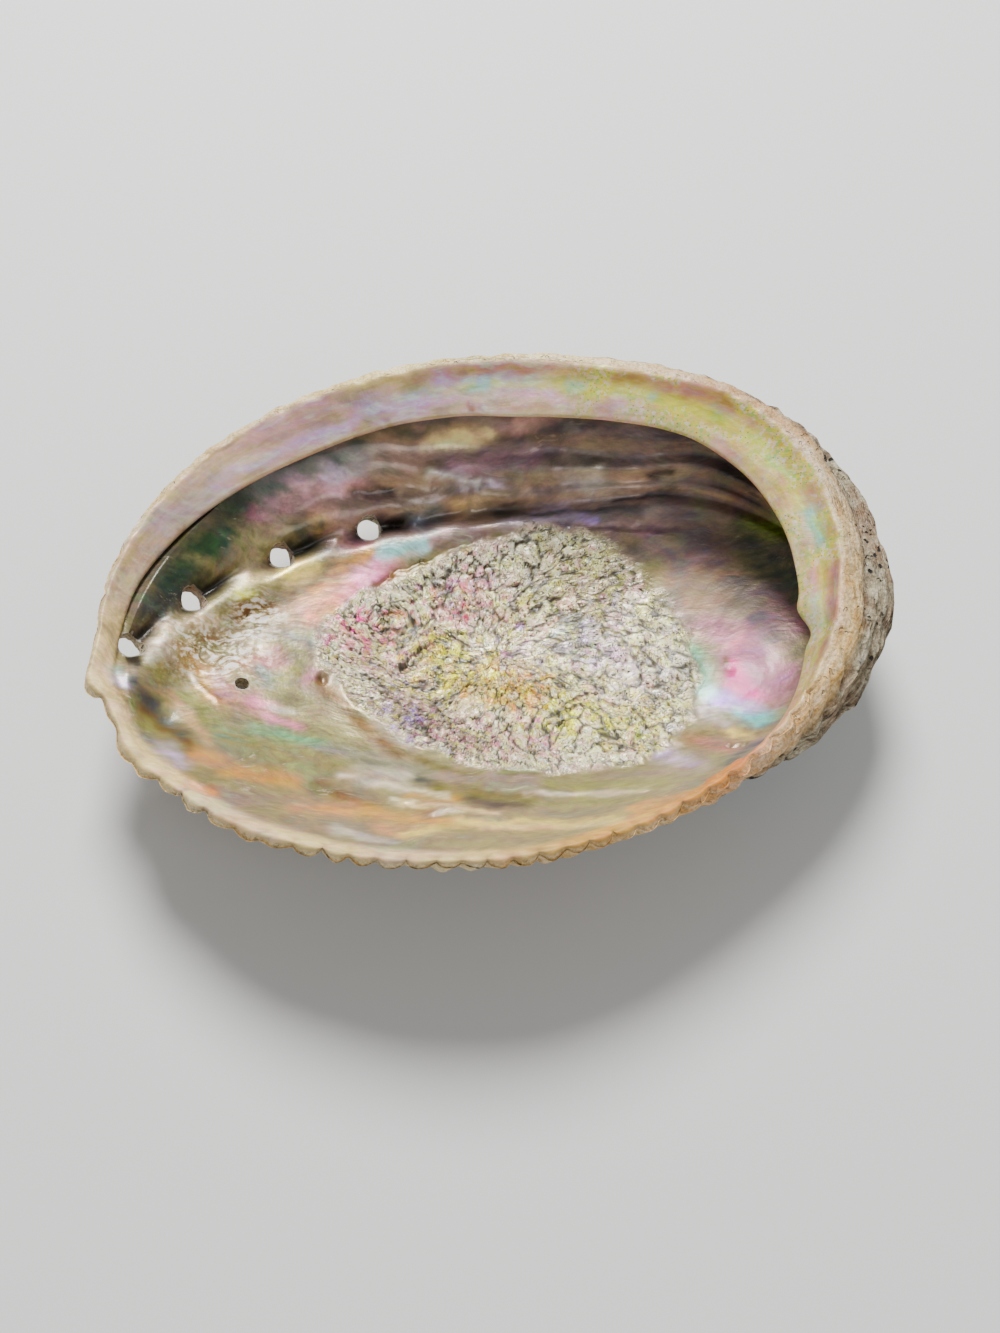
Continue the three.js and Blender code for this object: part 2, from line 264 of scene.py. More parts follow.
def outside(part, size):
    azimuth = rimAzimuth(part)
    x, y = grownFrom(azimuth, size, max(size, 0.07))
    place = smoothBack(x, y)
    age, laidAt = (-math.log(size) / shell["growthRate"], azimuth) if size > 0.07 else growthAt(x, y)
    rise = sharedRelief(x, y, age, laidAt) + whorls(x, y) + backRelief(part, size, x, y, place)
    place += backNormal(x, y) * rise
    place.z = max(0, place.z - shell["restWear"])
    return place, age, laidAt, (x, y)


# colours of the pearl: soft strokes (from x, y to x, y, half width, paint), laid one over another
painting = {
    "vivid": 1.32, "depth": 2.3, "cell": 6, "flake": 1.7, "toss": 9,
    "drift": ((10, 1.5), (3.1, 0.7), (1.2, 0.35)),  # grain and how far it moves a colour
}
paints = {
    "dark": (0.14, 0.13, 0.11), "umber": (0.27, 0.24, 0.235), "smoke": (0.42, 0.385, 0.375),
    "haze": (0.57, 0.53, 0.47), "pewter": (0.50, 0.51, 0.46), "bluegrey": (0.50, 0.58, 0.62),
    "slate": (0.27, 0.30, 0.29), "pine": (0.17, 0.29, 0.21), "silver": (0.74, 0.73, 0.68),
    "ivory": (0.95, 0.91, 0.81), "cream": (0.87, 0.79, 0.63), "butter": (0.90, 0.83, 0.55),
    "lemon": (0.88, 0.90, 0.36), "gold": (0.82, 0.66, 0.20), "honey": (0.78, 0.62, 0.40),
    "apricot": (0.80, 0.63, 0.48), "orange": (0.76, 0.49, 0.27), "rust": (0.42, 0.27, 0.16),
    "bark": (0.42, 0.34, 0.22), "tan": (0.66, 0.56, 0.44), "rosewood": (0.66, 0.50, 0.43), "rose": (0.82, 0.68, 0.64),
    "salmon": (0.86, 0.58, 0.52), "pink": (0.88, 0.60, 0.69), "orchid": (0.64, 0.46, 0.54),
    "magenta": (0.90, 0.36, 0.62), "mauve": (0.60, 0.44, 0.50), "plum": (0.38, 0.28, 0.36),
    "violet": (0.62, 0.48, 0.84), "lavender": (0.78, 0.72, 0.82), "ice": (0.74, 0.90, 0.92),
    "aqua": (0.52, 0.83, 0.80), "jade": (0.47, 0.65, 0.53), "green": (0.44, 0.78, 0.40), "moss": (0.48, 0.58, 0.24),
    "sage": (0.52, 0.53, 0.36), "olive": (0.44, 0.43, 0.28),
}
bowlStrokes = [
    (-64, 10, -68, 4, 3.4, "pine"), (-66, 6, -71, -2, 2.0, "slate"), (-54, 27, -40, 36, 2.9, "pine"),
    # the umber strokes along y 44 to 47 on the far wall are painted shadow of the shelf's edge
    (-40, 36, -29, 43, 1.8, "pine"), (-25, 44, -12, 48, 1.6, "slate"), (28, 47, 42, 44, 2.2, "umber"),
    (4, 47, 28, 47, 2.4, "umber"), (-3, 46, 13, 47, 1.4, "umber"), (21, 42, 42, 42, 2.9, "smoke"),
    (45, 42, 51, 37, 3.4, "slate"), (54, 25, 60, 16, 4.8, "slate"), (61, 13, 60, 9, 2.8, "pine"),
    (4, 38, 7, 38, 2.7, "slate"), (-10, 37, 10, 39, 2.5, "smoke"), (40, 36, 45, 24, 4.3, "smoke"),
    # the silver stroke from (16, 40) to (20, 41) lies on a raised fold: painted highlight
    (24, 37, 33, 34, 2.9, "haze"), (16, 40, 20, 41, 2.9, "silver"), (4, 41, 14, 41, 1.9, "haze"),
    (27, 40, 39, 40, 2.2, "tan"), (33, 40, 37, 40, 1.2, "umber"), (25, 37, 38, 37, 1.1, "umber"),
    (51, 34, 57, 29, 2.4, "rust"), (53, 35, 55, 32, 1.4, "umber"), (44, 35, 45, 32, 1.9, "sage"),
    (54, 28, 59, 26, 2.6, "moss"), (58, 26, 60, 24, 1.9, "moss"), (57, 9, 62, 4, 3.5, "mauve"),
    (44, 21, 49, 17, 3.3, "rosewood"), (31, 25, 40, 19, 3.1, "haze"), (35, 20, 45, 15, 2.4, "tan"),
    (41, 9, 50, 11, 3.3, "pewter"), (50, 3, 54, 5, 2.6, "salmon"), (31, 20, 36, 23, 2.1, "sage"),
    (7, 33, 20, 33, 1.4, "lavender"), (18, 33, 21, 32, 1.0, "violet"), (29, 29, 35, 29, 1.2, "mauve"),
    (13, 31, 39, 29, 0.6, "plum"), (4, 48, 13, 49, 1.2, "salmon"), (-51, 25, -43, 32, 2.4, "mauve"),
    (-45, 32, -42, 33, 1.8, "pink"), (-39, 30, -38, 29, 1.6, "salmon"), (-39, 28, -38, 28, 1.3, "gold"),
    (-38, 35, -32, 36, 2.0, "pink"), (-37, 36, -32, 38, 1.6, "lavender"), (-32, 39, -23, 41, 2.3, "haze"),
    (-24, 42, -18, 41, 2.3, "rosewood"), (-16, 44, -2, 47, 1.3, "butter"), (-12, 42, 0, 45, 1.5, "smoke"),
    # the dark stroke from (-32, 34) to (-23, 36) lies in a groove: painted shade
    (0, 48, 9, 48, 1.0, "rosewood"), (-45, 23, -38, 27, 1.8, "slate"), (-32, 34, -23, 36, 1.3, "dark"),
    # the silver stroke from (-15, 39) to (-5, 39) runs along a raised fold: painted highlight
    (-20, 37, -17, 38, 1.7, "tan"), (-19, 36, -15, 36, 1.0, "rust"), (-15, 39, -5, 39, 1.1, "silver"),
    (-2, 39, 0, 38, 1.2, "lavender"), (3, 43, 12, 41, 2.0, "haze"), (3, 43, 5, 42, 1.0, "tan"),
    (-18, 33, -15, 33, 2.5, "bluegrey"), (-11, 34, -10, 34, 1.8, "rosewood"), (-10, 35, -8, 35, 1.1, "gold"),
    (-6, 35, 6, 37, 1.8, "tan"), (1, 31, 13, 35, 1.3, "lavender"), (-35, 25, -28, 26, 2.0, "mauve"),
    (-35, 19, -28, 23, 1.9, "honey"), (-31, 16, -24, 20, 2.4, "pink"), (-33, 13, -30, 15, 1.5, "lavender"),
    (-41, 8, -36, 15, 2.9, "rosewood"), (-35, 9, -35, 14, 0.9, "honey"), (-40, 14, -39, 14, 1.0, "gold"),
    (-25, 24, -17, 26, 1.7, "ice"), (-21, 23, -19, 24, 1.2, "aqua"), (-18, 27, -13, 29, 1.0, "silver"),
    (-23, 21, -11, 29, 1.0, "rose"), (-52, 12, -43, 16, 2.0, "cream"), (-53, 9, -52, 9, 1.3, "lemon"),
    (-52, 6, -47, 6, 1.7, "rust"), (-39, 21, -37, 23, 1.3, "slate"), (-69, -5, -65, 0, 2.0, "cream"),
    (-68, -6, -67, -5, 1.0, "ivory"), (-68, -10, -65, -8, 1.5, "silver"), (-63, 0, -59, 2, 1.7, "cream"),
    (-54, 9, -53, 9, 1.4, "lemon"), (-52, 8, -49, 12, 1.5, "sage"), (-54, 3, -52, 6, 1.2, "rust"),
    (-51, 6, -47, 8, 1.1, "rust"), (-48, 5, -47, 6, 0.5, "cream"), (-43, 2, -37, 2, 2.8, "pewter"),
    (-54, 0, -48, 1, 1.9, "haze"), (-62, -6, -55, -15, 2.7, "honey"), (-60, -2, -55, 0, 0.9, "rust"),
    (-60, -13, -55, -15, 0.7, "rust"), (-62, -5, -59, -6, 0.9, "umber"), (-52, -6, -50, -6, 2.2, "salmon"),
    (-48, -5, -46, -4, 1.9, "pink"), (-56, -10, -54, -15, 1.5, "mauve"), (-50, -15, -46, -17, 1.8, "pink"),
    (-49, -8, -47, -10, 1.5, "bluegrey"), (-46, -10, -43, -6, 2.0, "sage"), (-40, -8, -38, -6, 2.0, "mauve"),
    # the dark stroke at (-37, -6) lies in a small pit: painted shade
    (-37, -6, -36, -7, 1.1, "dark"), (-46, -19, -40, -20, 0.8, "pink"), (-46, -16, -42, -16, 1.1, "silver"),
    (-65, -13, -54, -23, 3.2, "sage"), (-52, -25, -49, -26, 2.6, "jade"), (-47, -27, -34, -25, 3.9, "sage"),
    (-70, -21, -63, -25, 2.8, "olive"), (-63, -24, -56, -31, 2.4, "bark"), (-67, -20, -65, -22, 1.8, "sage"),
    (-66, -17, -55, -28, 0.5, "tan"), (-70, -27, -61, -33, 1.7, "pewter"), (-63, -32, -58, -35, 1.5, "lavender"),
    (-56, -32, -53, -33, 2.0, "apricot"), (-51, -36, -39, -33, 1.5, "honey"), (-77, -20, -74, -22, 1.8, "cream"),
    (-75, -15, -73, -15, 0.9, "aqua"), (-72, -18, -70, -18, 1.3, "lavender"), (-74, -20, -74, -20, 1.1, "butter"),
    (-73, -22, -71, -22, 1.1, "orange"), (-69, -17, -69, -17, 1.1, "slate"), (-51, -25, -47, -27, 3.6, "sage"),
    (-44, -30, -31, -32, 4.3, "sage"), (-45, -20, -40, -20, 1.5, "pink"), (-54, -32, -52, -33, 2.2, "tan"),
    (-49, -35, -38, -36, 1.8, "honey"), (-34, -36, -23, -42, 1.9, "bark"), (-25, -30, -19, -32, 2.8, "silver"),
    (-16, -32, -14, -33, 1.8, "slate"), (-37, -43, -28, -42, 2.4, "apricot"), (-49, -41, -42, -43, 2.4, "haze"),
    (-17, -38, -8, -38, 1.4, "honey"), (-15, -40, -13, -41, 1.0, "rust"), (-5, -40, 5, -38, 2.1, "umber"),
    (-21, -47, -16, -49, 1.6, "apricot"), (-16, -49, -9, -46, 1.9, "butter"), (-9, -46, 10, -48, 1.6, "tan"),
    (-29, -49, -19, -52, 1.2, "silver"), (-12, -31, 11, -33, 2.3, "haze"), (0, -30, 12, -30, 1.2, "olive"),
    (-4, -35, 26, -42, 1.8, "sage"), (-4, -38, 4, -39, 1.5, "umber"), (32, -26, 36, -30, 2.9, "lavender"),
    (29, -32, 37, -32, 2.1, "haze"), (39, -22, 45, -26, 2.4, "rosewood"), (42, -32, 51, -26, 1.6, "slate"),
    (50, -15, 52, -18, 2.0, "aqua"), (46, -12, 48, -14, 1.4, "ivory"), (46, -20, 49, -22, 1.4, "butter"),
    (41, -2, 42, -5, 2.6, "jade"), (42, -8, 43, -10, 2.2, "ice"), (37, -3, 37, -9, 1.1, "cream"),
    (49, -8, 50, -10, 2.8, "magenta"), (44, -12, 46, -11, 1.9, "violet"), (51, -11, 54, -13, 2.5, "pink"),
    (55, -4, 58, -7, 3.4, "mauve"), (49, 0, 50, 1, 1.9, "salmon"), (48, -2, 48, -3, 1.1, "haze"),
    (41, -14, 45, -17, 1.7, "silver"), (-4, -46, 21, -49, 1.1, "cream"), (23, -45, 39, -41, 1.2, "tan"),
    # the umber and dark strokes at the first hole's notch, near (-72, -5) to (-70, -13), are painted shade
    (-21, -39, -16, -39, 0.5, "ivory"), (-12, -42, -7, -42, 0.5, "ivory"), (-72, -5, -71, -12, 1.6, "umber"),
    (-71, -11, -70, -13, 0.9, "dark"), (23, -45, 36, -42, 1.2, "honey"), (36, -42, 45, -37, 1.5, "honey"),
    (45, -37, 54, -30, 1.5, "tan"), (54, -30, 57, -23, 1.3, "tan"), (24, -51, 37, -44, 1.2, "apricot"),
    (37, -44, 49, -34, 1.7, "orange"), (49, -34, 55, -36, 1.5, "apricot"), (44, -38, 55, -31, 0.6, "cream"),
    (55, -31, 62, -23, 0.8, "cream"), (49, -39, 50, -40, 0.7, "rust"), (33, -45, 37, -44, 0.7, "rust"),
    (-57, -39, -52, -42, 1.3, "orange"), (-70, -22, -63, -30, 2.4, "sage"), (-66, -20, -58, -30, 1.6, "olive"),
    (-68, -19, -59, -29, 1.5, "bark"), (-67, -19, -60, -27, 1.2, "slate"), (-64, -17, -55, -28, 0.8, "tan"),
    (-57, -31, -53, -33, 1.4, "honey"), (42, 7, 56, 5, 2.8, "mauve"), (40, 11, 50, 13, 2.6, "rosewood"),
    (33, 14, 40, 9, 2.2, "haze"), (50, 0, 51, -9, 2.6, "magenta"), (54, -2, 56, -10, 3.0, "mauve"),
    (46, -11, 50, -14, 1.8, "violet"), (41, 0, 42, -6, 2.0, "jade"), (48, -15, 52, -18, 1.9, "aqua"),
    (48, -2, 48, -3, 0.9, "bark"), (-25, 23, -17, 26, 1.3, "aqua"), (-31, 15, -25, 20, 1.6, "pink"),
    (-36, 11, -33, 16, 1.2, "apricot"), (-18, -39, -1, -42, 0.9, "cream"), (-30, -33, -10, -37, 1.0, "ivory"),
    (5, -36, 27, -38, 0.8, "ivory"), (46, 5, 54, -9, 3.6, "orchid"), (52, 4, 58, -9, 2.6, "mauve"),
    (49, -3, 51, -9, 1.4, "magenta"), (40, 1, 41, -8, 1.7, "jade"), (47, -12, 51, -15, 1.6, "lavender"),
    (48, -2, 48, -3, 0.9, "bark"), (38, 24, 50, 12, 5.0, "haze"), (36, 25, 44, 20, 2.0, "rosewood"),
    (44, 24, 54, 12, 3.4, "smoke"), (52, 12, 58, 2, 2.6, "smoke"), (-42, 6, -35, 13, 2.6, "tan"),
    (-33, 13, -27, 18, 1.5, "rose"), (0, 34, 30, 33, 1.6, "slate"), (4, 43, 30, 43, 2.0, "smoke"),
    (24, 26, 40, 22, 2.6, "smoke"), (-10, 42, 8, 43, 1.4, "mauve"), (-66, 8, -55, 26, 3.4, "pine"),
    (-53, 27, -42, 35, 2.0, "pine"), (-68, 2, -62, 10, 1.8, "slate"), (-33, 14, -25, 20, 2.2, "pink"),
    (-39, 9, -33, 14, 2.0, "salmon"), (-25, 22, -16, 26, 1.4, "ice"), (-42, 12, -36, 17, 1.6, "apricot"),
    (-34, 8, -27, 16, 0.9, "bark"), (-27, 16, -16, 22, 0.9, "bark"), (-16, 22, 0, 29, 0.8, "olive"),
    (-36, -8, -28, -18, 2.0, "bark"), (-28, -19, -16, -27, 1.5, "bark"), (-16, -27, -4, -31, 1.2, "olive"),
    (-46, 16, -40, 19, 1.6, "butter"), (-34, -25, -14, -30, 1.8, "pewter"), (-48, -22, -36, -24, 1.6, "jade"),
    (-32, -41, -10, -45, 2.0, "honey"), (-12, -35, 6, -37, 1.8, "olive"), (10, -34, 30, -36, 2.2, "sage"),
    (-8, -45, 20, -47, 1.4, "butter"), (24, -47, 40, -42, 1.6, "honey"), (38, -43, 50, -34, 1.6, "orange"),
    (50, -34, 60, -23, 1.2, "apricot"),
]
scarStrokes = [
    (-30, 5, -6, 13, 6.5, "rose"), (-14, -1, 6, -9, 6.5, "butter"), (-24, -8, -8, -20, 4.2, "mauve"),
    (12, -12, 28, -16, 5.5, "butter"), (16, 16, 30, 10, 6.0, "silver"), (20, 4, 30, -4, 5.0, "lavender"),
    (-21, 16, -18, 16, 6.1, "ivory"), (1, 22, 4, 23, 4.5, "ivory"), (13, 15, 18, 13, 5.0, "cream"),
    (-7, 6, -3, 6, 3.0, "ivory"), (-22, 9, -21, 9, 2.7, "ivory"), (4, 11, 6, 12, 3.3, "butter"),
    (-33, 4, -30, 5, 3.0, "magenta"), (-26, 5, -22, 6, 2.0, "salmon"), (-7, 19, -2, 20, 2.8, "pink"),
    (-5, 20, -2, 20, 1.2, "orange"), (-5, 11, -2, 11, 2.2, "pink"), (-14, 5, -13, 6, 2.0, "magenta"),
    (-12, 14, -10, 16, 1.3, "violet"), (-10, 13, -8, 12, 1.5, "salmon"), (2, 4, 6, 5, 2.0, "pink"),
    (0, 8, 1, 8, 1.5, "lemon"), (-17, 1, -16, 0, 1.4, "gold"), (-14, -2, -2, -8, 4.5, "gold"),
    (2, -4, 7, -7, 3.2, "gold"), (6, -8, 9, -8, 2.0, "orange"), (7, 2, 12, 2, 2.7, "umber"),
    (15, 3, 17, 2, 2.3, "lavender"), (19, -1, 23, -6, 4.3, "silver"), (24, 18, 25, 15, 2.5, "umber"),
    (14, 23, 19, 22, 2.8, "haze"), (30, 20, 34, 19, 3.9, "sage"), (33, -3, 33, -8, 2.1, "ivory"),
    (28, 0, 31, 1, 3.0, "cream"), (17, -10, 19, -10, 1.9, "pink"), (15, -15, 17, -16, 2.6, "lemon"),
    (8, -18, 11, -17, 1.9, "butter"), (2, -18, 12, -22, 1.5, "pink"), (-6, -20, -3, -21, 1.7, "pink"),
    (12, -26, 16, -26, 1.3, "pink"), (-22, -6, -14, -19, 3.1, "plum"), (-21, -15, -18, -20, 1.2, "violet"),
    (-15, -14, -8, -21, 2.3, "umber"), (-10, -23, -1, -28, 1.7, "umber"), (-28, -17, -19, -21, 0.8, "ivory"),
    (-29, -7, -22, -13, 0.9, "ivory"), (-14, -11, -10, -10, 1.9, "sage"), (-28, -3, -21, -3, 1.9, "mauve"),
    (6, -26, 16, -27, 1.7, "ivory"), (26, -19, 29, -20, 2.6, "moss"), (23, -26, 26, -24, 2.0, "tan"),
    # the dark stroke at (-36, -7) lies in a small pit: painted shade
    (-36, -7, -35, -8, 1.6, "dark"), (-34, -13, -29, -18, 1.9, "bark"), (34, -11, 36, -7, 1.3, "tan"),
    (-32, 3, -27, 6, 2.4, "magenta"), (-14, 12, -9, 13, 1.6, "magenta"), (-9, 18, 0, 19, 2.0, "pink"),
    (-12, 0, -3, -6, 3.2, "lemon"), (-6, -6, 6, -8, 2.4, "gold"), (10, -16, 16, -17, 2.2, "lemon"),
    (-24, -8, -14, -18, 1.6, "plum"), (-27, -10, -17, -19, 0.9, "violet"), (-20, -18, -10, -23, 1.2, "dark"),
    (-3, -21, 8, -24, 1.3, "pink"), (1, 1, 5, 3, 1.6, "violet"), (11, 8, 17, 6, 1.8, "jade"),
    (20, 2, 26, -4, 2.4, "lavender"),
]
shelfStrokes = [
    (-76, -8, -74, 8, 4.6, "rosewood"), (-73, 10, -63, 23, 4.7, "rose"), (-69, 16, -58, 28, 3.6, "lavender"),
    (-76, -1, -70, 22, 1.4, "cream"), (-68, 23, -54, 35, 1.9, "butter"), (-58, 32, -41, 42, 3.1, "rose"),
    (-54, 31, -40, 36, 2.2, "cream"), (-42, 39, -28, 42, 4.3, "rose"), (-38, 43, -28, 45, 3.6, "haze"),
    (-28, 41, -24, 43, 1.9, "sage"), (-33, 48, -19, 50, 1.9, "butter"), (-24, 44, -12, 47, 3.9, "lavender"),
    (-19, 49, -12, 50, 2.4, "haze"), (-12, 49, -8, 49, 2.4, "violet"), (-5, 49, 9, 49, 4.1, "ice"),
    (-7, 45, 11, 44, 2.6, "ivory"), (12, 46, 29, 43, 2.4, "lavender"), (2, 48, 7, 47, 2.2, "violet"),
    (6, 51, 14, 49, 2.2, "butter"), (15, 48, 31, 45, 2.6, "lemon"), (9, 58, 42, 55, 2.0, "tan"),
    (15, 50, 25, 48, 1.7, "honey"), (32, 45, 35, 45, 1.2, "apricot"), (34, 43, 46, 34, 3.1, "lemon"),
    (37, 45, 46, 41, 2.9, "honey"), (44, 39, 51, 30, 2.0, "green"), (51, 30, 57, 20, 2.8, "lemon"),
    (49, 30, 52, 27, 1.7, "aqua"), (44, 34, 56, 18, 1.8, "pink"), (30, 41, 44, 35, 1.4, "ivory"),
    (49, 38, 61, 22, 2.8, "honey"), (61, 23, 68, 5, 2.3, "tan"), (57, 19, 61, 13, 2.5, "butter"),
    (59, 16, 62, 6, 2.7, "ivory"), (63, 16, 64, 12, 2.3, "aqua"), (64, 12, 65, 8, 2.0, "green"),
    (65, 11, 66, 8, 1.1, "lemon"), (63, 6, 65, 2, 2.0, "silver"), (62, 4, 64, -4, 2.7, "salmon"),
    (63, 0, 63, -5, 1.6, "apricot"), (63, -4, 63, -11, 2.0, "pink"), (60, -3, 60, -10, 1.3, "aqua"),
    (60, -9, 60, -14, 1.3, "violet"), (67, 2, 68, -12, 1.8, "cream"), (69, 4, 70, -10, 1.1, "ivory"),
    (58, -15, 62, -12, 2.2, "haze"), (56, -24, 61, -17, 2.3, "tan"), (50, -32, 60, -21, 1.9, "cream"),
    (20, 57, 40, 52, 1.2, "haze"), (40, 52, 56, 36, 1.4, "bark"), (-60, 28, -30, 42, 1.2, "lavender"),
    (30, 46, 46, 37, 1.3, "lemon"), (46, 36, 56, 22, 1.2, "lemon"), (20, 42, 44, 34, 0.9, "pink"),
    (44, 32, 56, 14, 1.0, "salmon"), (-7, 46, -6, 44, 0.6, "rust"), (-23, 42, -23, 41, 0.7, "rust"),
    (-31, 39, -30, 38, 0.6, "rust"),
]
# low folds and grooves of the pearl (from x, y to x, y, half width, height) and round blisters (x, y, radius)
marks = [
    (-15, 39, -5, 39, 1.8, 0.8), (3, 43, 12, 41, 2.2, 0.9), (-32, 34, -22, 36, 1.6, -0.8),
    (-14, 36, 10, 37, 1.8, -0.5), (13, 42, 20, 42, 1.5, 0.6), (14, 31, 38, 29, 0.9, -0.4),
    (31, 39, 38, 38, 1.8, -0.6), (22, 42, 34, 42, 1.8, 0.4), (-31, 10, -24, 18, 0.6, -0.5),
    (-24, 18, -17, 22, 0.6, -0.5), (-17, 22, -3, 29, 0.6, -0.4), (-22, 31, -21, 31, 1.1, -1.6),
    (36, -4, 35, -9, 0.7, 0.5), (35, -9, 39, -15, 0.7, 0.5), (-70, -20, -63, -24, 2.8, -0.6),
    (-63, -24, -57, -30, 2.6, -0.6), (-63, -6, -60, -7, 0.5, 0.4), (-61, -9, -56, -9, 0.5, 0.4),
    (-61, -11, -55, -16, 0.5, 0.35), (-58, -6, -55, -5, 0.55, 0.4), (-67, -1, -62, 2, 0.4, 0.4),
    (-68, -4, -63, 0, 0.4, 0.4), (-60, -3, -56, 0, 0.55, 0.45), (-52, 5, -47, 8, 0.5, -0.5),
    (-54, 3, -52, 5, 0.5, -0.5), (-36, -6, -36, -7, 0.8, -0.9), (-21, -39, -19, -39, 0.55, 0.5),
    (-18, -39, -16, -39, 0.55, 0.5), (-12, -42, -11, -41, 0.55, 0.5), (-10, -42, -9, -41, 0.55, 0.45),
    (-8, -42, -7, -43, 0.55, 0.45), (-57, -39, -52, -42, 0.7, -0.5), (45, -25, 48, -25, 0.4, -1.0),
    (34, -44, 37, -44, 0.6, -0.6), (36, -40, 46, -36, 0.5, 0.6), (44, -38, 56, -29, 0.5, 0.6),
    (56, -29, 62, -21, 0.5, 0.6), (39, -43, 50, -34, 0.4, -0.6), (55, -34, 63, -24, 0.4, -0.6),
]
blisterRings = [(12, 17, 2.1), (20, 12, 2.5), (-21, 9, 3.3), (-13, 17, 1.2), (5, 11, 2.2)]
# the edge of the shell by degrees
crestStops = [
    (-60, "honey"), (-44, "orange"), (-30, "apricot"), (-15, "honey"), (2, "tan"), (18, "tan"), (45, "rosewood"),
    (66, "cream"), (100, "butter"), (150, "cream"), (200, "cream"), (230, "cream"), (262, "cream"), (285, "honey"),
    (300, "honey"),
]


# a paint as light, deepened and made more vivid
def linear(colour):
    light = Vector([channel ** painting["depth"] for channel in colour])
    grey = sum(light) / 3
    return Vector([max(0.004, grey + (channel - grey) * painting["vivid"]) for channel in light])


inks = {name: linear(colour) for name, colour in paints.items()}


def cellOf(x, y):
    return math.floor(x / painting["cell"]), math.floor(y / painting["cell"])


# the numbers of the strokes near each cell of the floor
def lookUp(lines):
    table = {}
    for number, (x1, y1, x2, y2, width, *rest) in enumerate(lines):
        reach = 2.2 * width
        firstX, firstY = cellOf(min(x1, x2) - reach, min(y1, y2) - reach)
        lastX, lastY = cellOf(max(x1, x2) + reach, max(y1, y2) + reach)
        for i in range(firstX, lastX + 1):
            for j in range(firstY, lastY + 1):
                table.setdefault((i, j), []).append(number)
    return table


# how much of a stroke is felt at a spot
def shareOf(spot, x1, y1, x2, y2, width, *rest):
    dx, dy = x2 - x1, y2 - y1
    t = min(1, max(0, ((spot.x - x1) * dx + (spot.y - y1) * dy) / max(0.01, dx * dx + dy * dy)))
    return math.exp(-((spot.x - x1 - t * dx) ** 2 + (spot.y - y1 - t * dy) ** 2) / width ** 2)


def drift(place):
    moved = place
    for grain, far in painting["drift"]:
        moved = moved + noise.noise_vector(place / grain) * far
    return moved


def painted(spot, base, lines, table):
    colour = base
    for number in table.get(cellOf(spot.x, spot.y), ()):
        share = shareOf(spot, *lines[number])
        if share > 0.02:
            share *= 0.78 + 0.8 * noise.noise(Vector((spot.x * 0.16, spot.y * 0.65, number * 1.7)))
        if share > 0.02:
            colour = colour.lerp(inks[lines[number][5]], min(0.95, share))
    return colour


tables = {"bowl": lookUp(bowlStrokes), "scar": lookUp(scarStrokes), "shelf": lookUp(shelfStrokes),
          "marks": lookUp(marks)}


def crestTone(azimuth):
    degrees = (math.degrees(azimuth) + 60) % 360 - 60
    for (low, first), (high, second) in zip(crestStops, crestStops[1:]):
        if low <= degrees <= high:
            return inks[first].lerp(inks[second], (degrees - low) / (high - low))


# inside: the pearly floor and wall, with dimples at the holes and the rough scar of the muscle
def scarReach(place):
    dx, dy = place.x - scar["centre"][0], place.y - scar["centre"][1]
    edge = atAzimuth(scar["reach"], math.atan2(dy, dx)) * (1 + 0.07 * rough(place, 6, 2) + 0.03 * rough(place, 2, 4))
    return math.hypot(dx, dy) / edge


# loose flakes: each cell is a tilted plate with a groove round it, drawn out along the scar's lower left edge
def scarFlakes(place, ratio):
    outward = Vector((place.x - scar["centre"][0], place.y - scar["centre"][1], 0))
    drawn = smoothStep(ratio, 0.4, 0.75) * smoothStep(outward.normalized().dot(Vector((-0.7, -0.71, 0))), 0.1, 0.7)
    flow = Vector((place.x, place.y, 0))
    flow += noise.noise_vector(flow / 6) * 1.8 + noise.noise_vector(flow / 2.1) * 0.8
    fine = Vector((flow.x - scar["fine"][0], flow.y - scar["fine"][1], 0))
    flow += fine * 0.8 * bell(fine.length, 15)
    flow += Vector((0.51, 0.86, 0)) * ((place.x + 15) * 0.51 + (place.y + 14) * 0.86) * 2.6 * drawn
    near, points = noise.voronoi(flow / scar["flake"])
    toss = noise.noise_vector(points[0] * 7.3) * 1.6
    level = 2.1 * noise.noise(flow / 3.1) + 0.8 * noise.noise(flow / 1.5) + 2.2 * toss.z
    sheet = level % 1
    edge = min(near[1] - near[0], 0.9 * sheet)
    lean = (flow / scar["flake"] - points[0]).dot(toss)
    height = 0.5 * lean + 0.3 * toss.z + 1.0 * (sheet ** 1.5 - 0.4) - 0.4 * bell(edge, 0.1)
    hue = 0.5 + 0.8 * noise.noise(points[0] * 7.3 + Vector((0, 0, 3.1 * math.floor(level))))
    return height, edge, hue, flow


def insideRelief(place, spot, age, azimuth):
    rise = uneven(place, "pearl")
    rise += 0.02 * math.sin(age * 60 + 6 * rough(place, 12, 1)) * smoothStep(age, 0.02, 0.12)
    wallShare = smoothStep(age, 0.12, 0.5) * (1 - smoothStep(age, 1.7, 2.3))
    for degrees, width, height in folds:
        bent = azimuth + 0.12 * rough(place, 14, 6)
        rise -= height * bell(wrapTurn(bent - math.radians(degrees)), width) * wallShare
    for number in tables["marks"].get(cellOf(spot.x, spot.y), ()):
        rise += marks[number][5] * shareOf(spot, *marks[number])
    flaky = bell(math.hypot((spot.x + 58) / 1.6, spot.y + 5), 6) + bell(math.hypot(spot.x + 51, spot.y - 5), 4)
    rise += 0.9 * flaky * (noise.turbulence(Vector((spot.x / 5, spot.y / 1.8, 4)), 3, True) - 0.4)
    nipple = math.hypot(place.x - 47.9, place.y + 4.2)
    rise += 0.35 * bell(nipple, 0.9)
    return rise


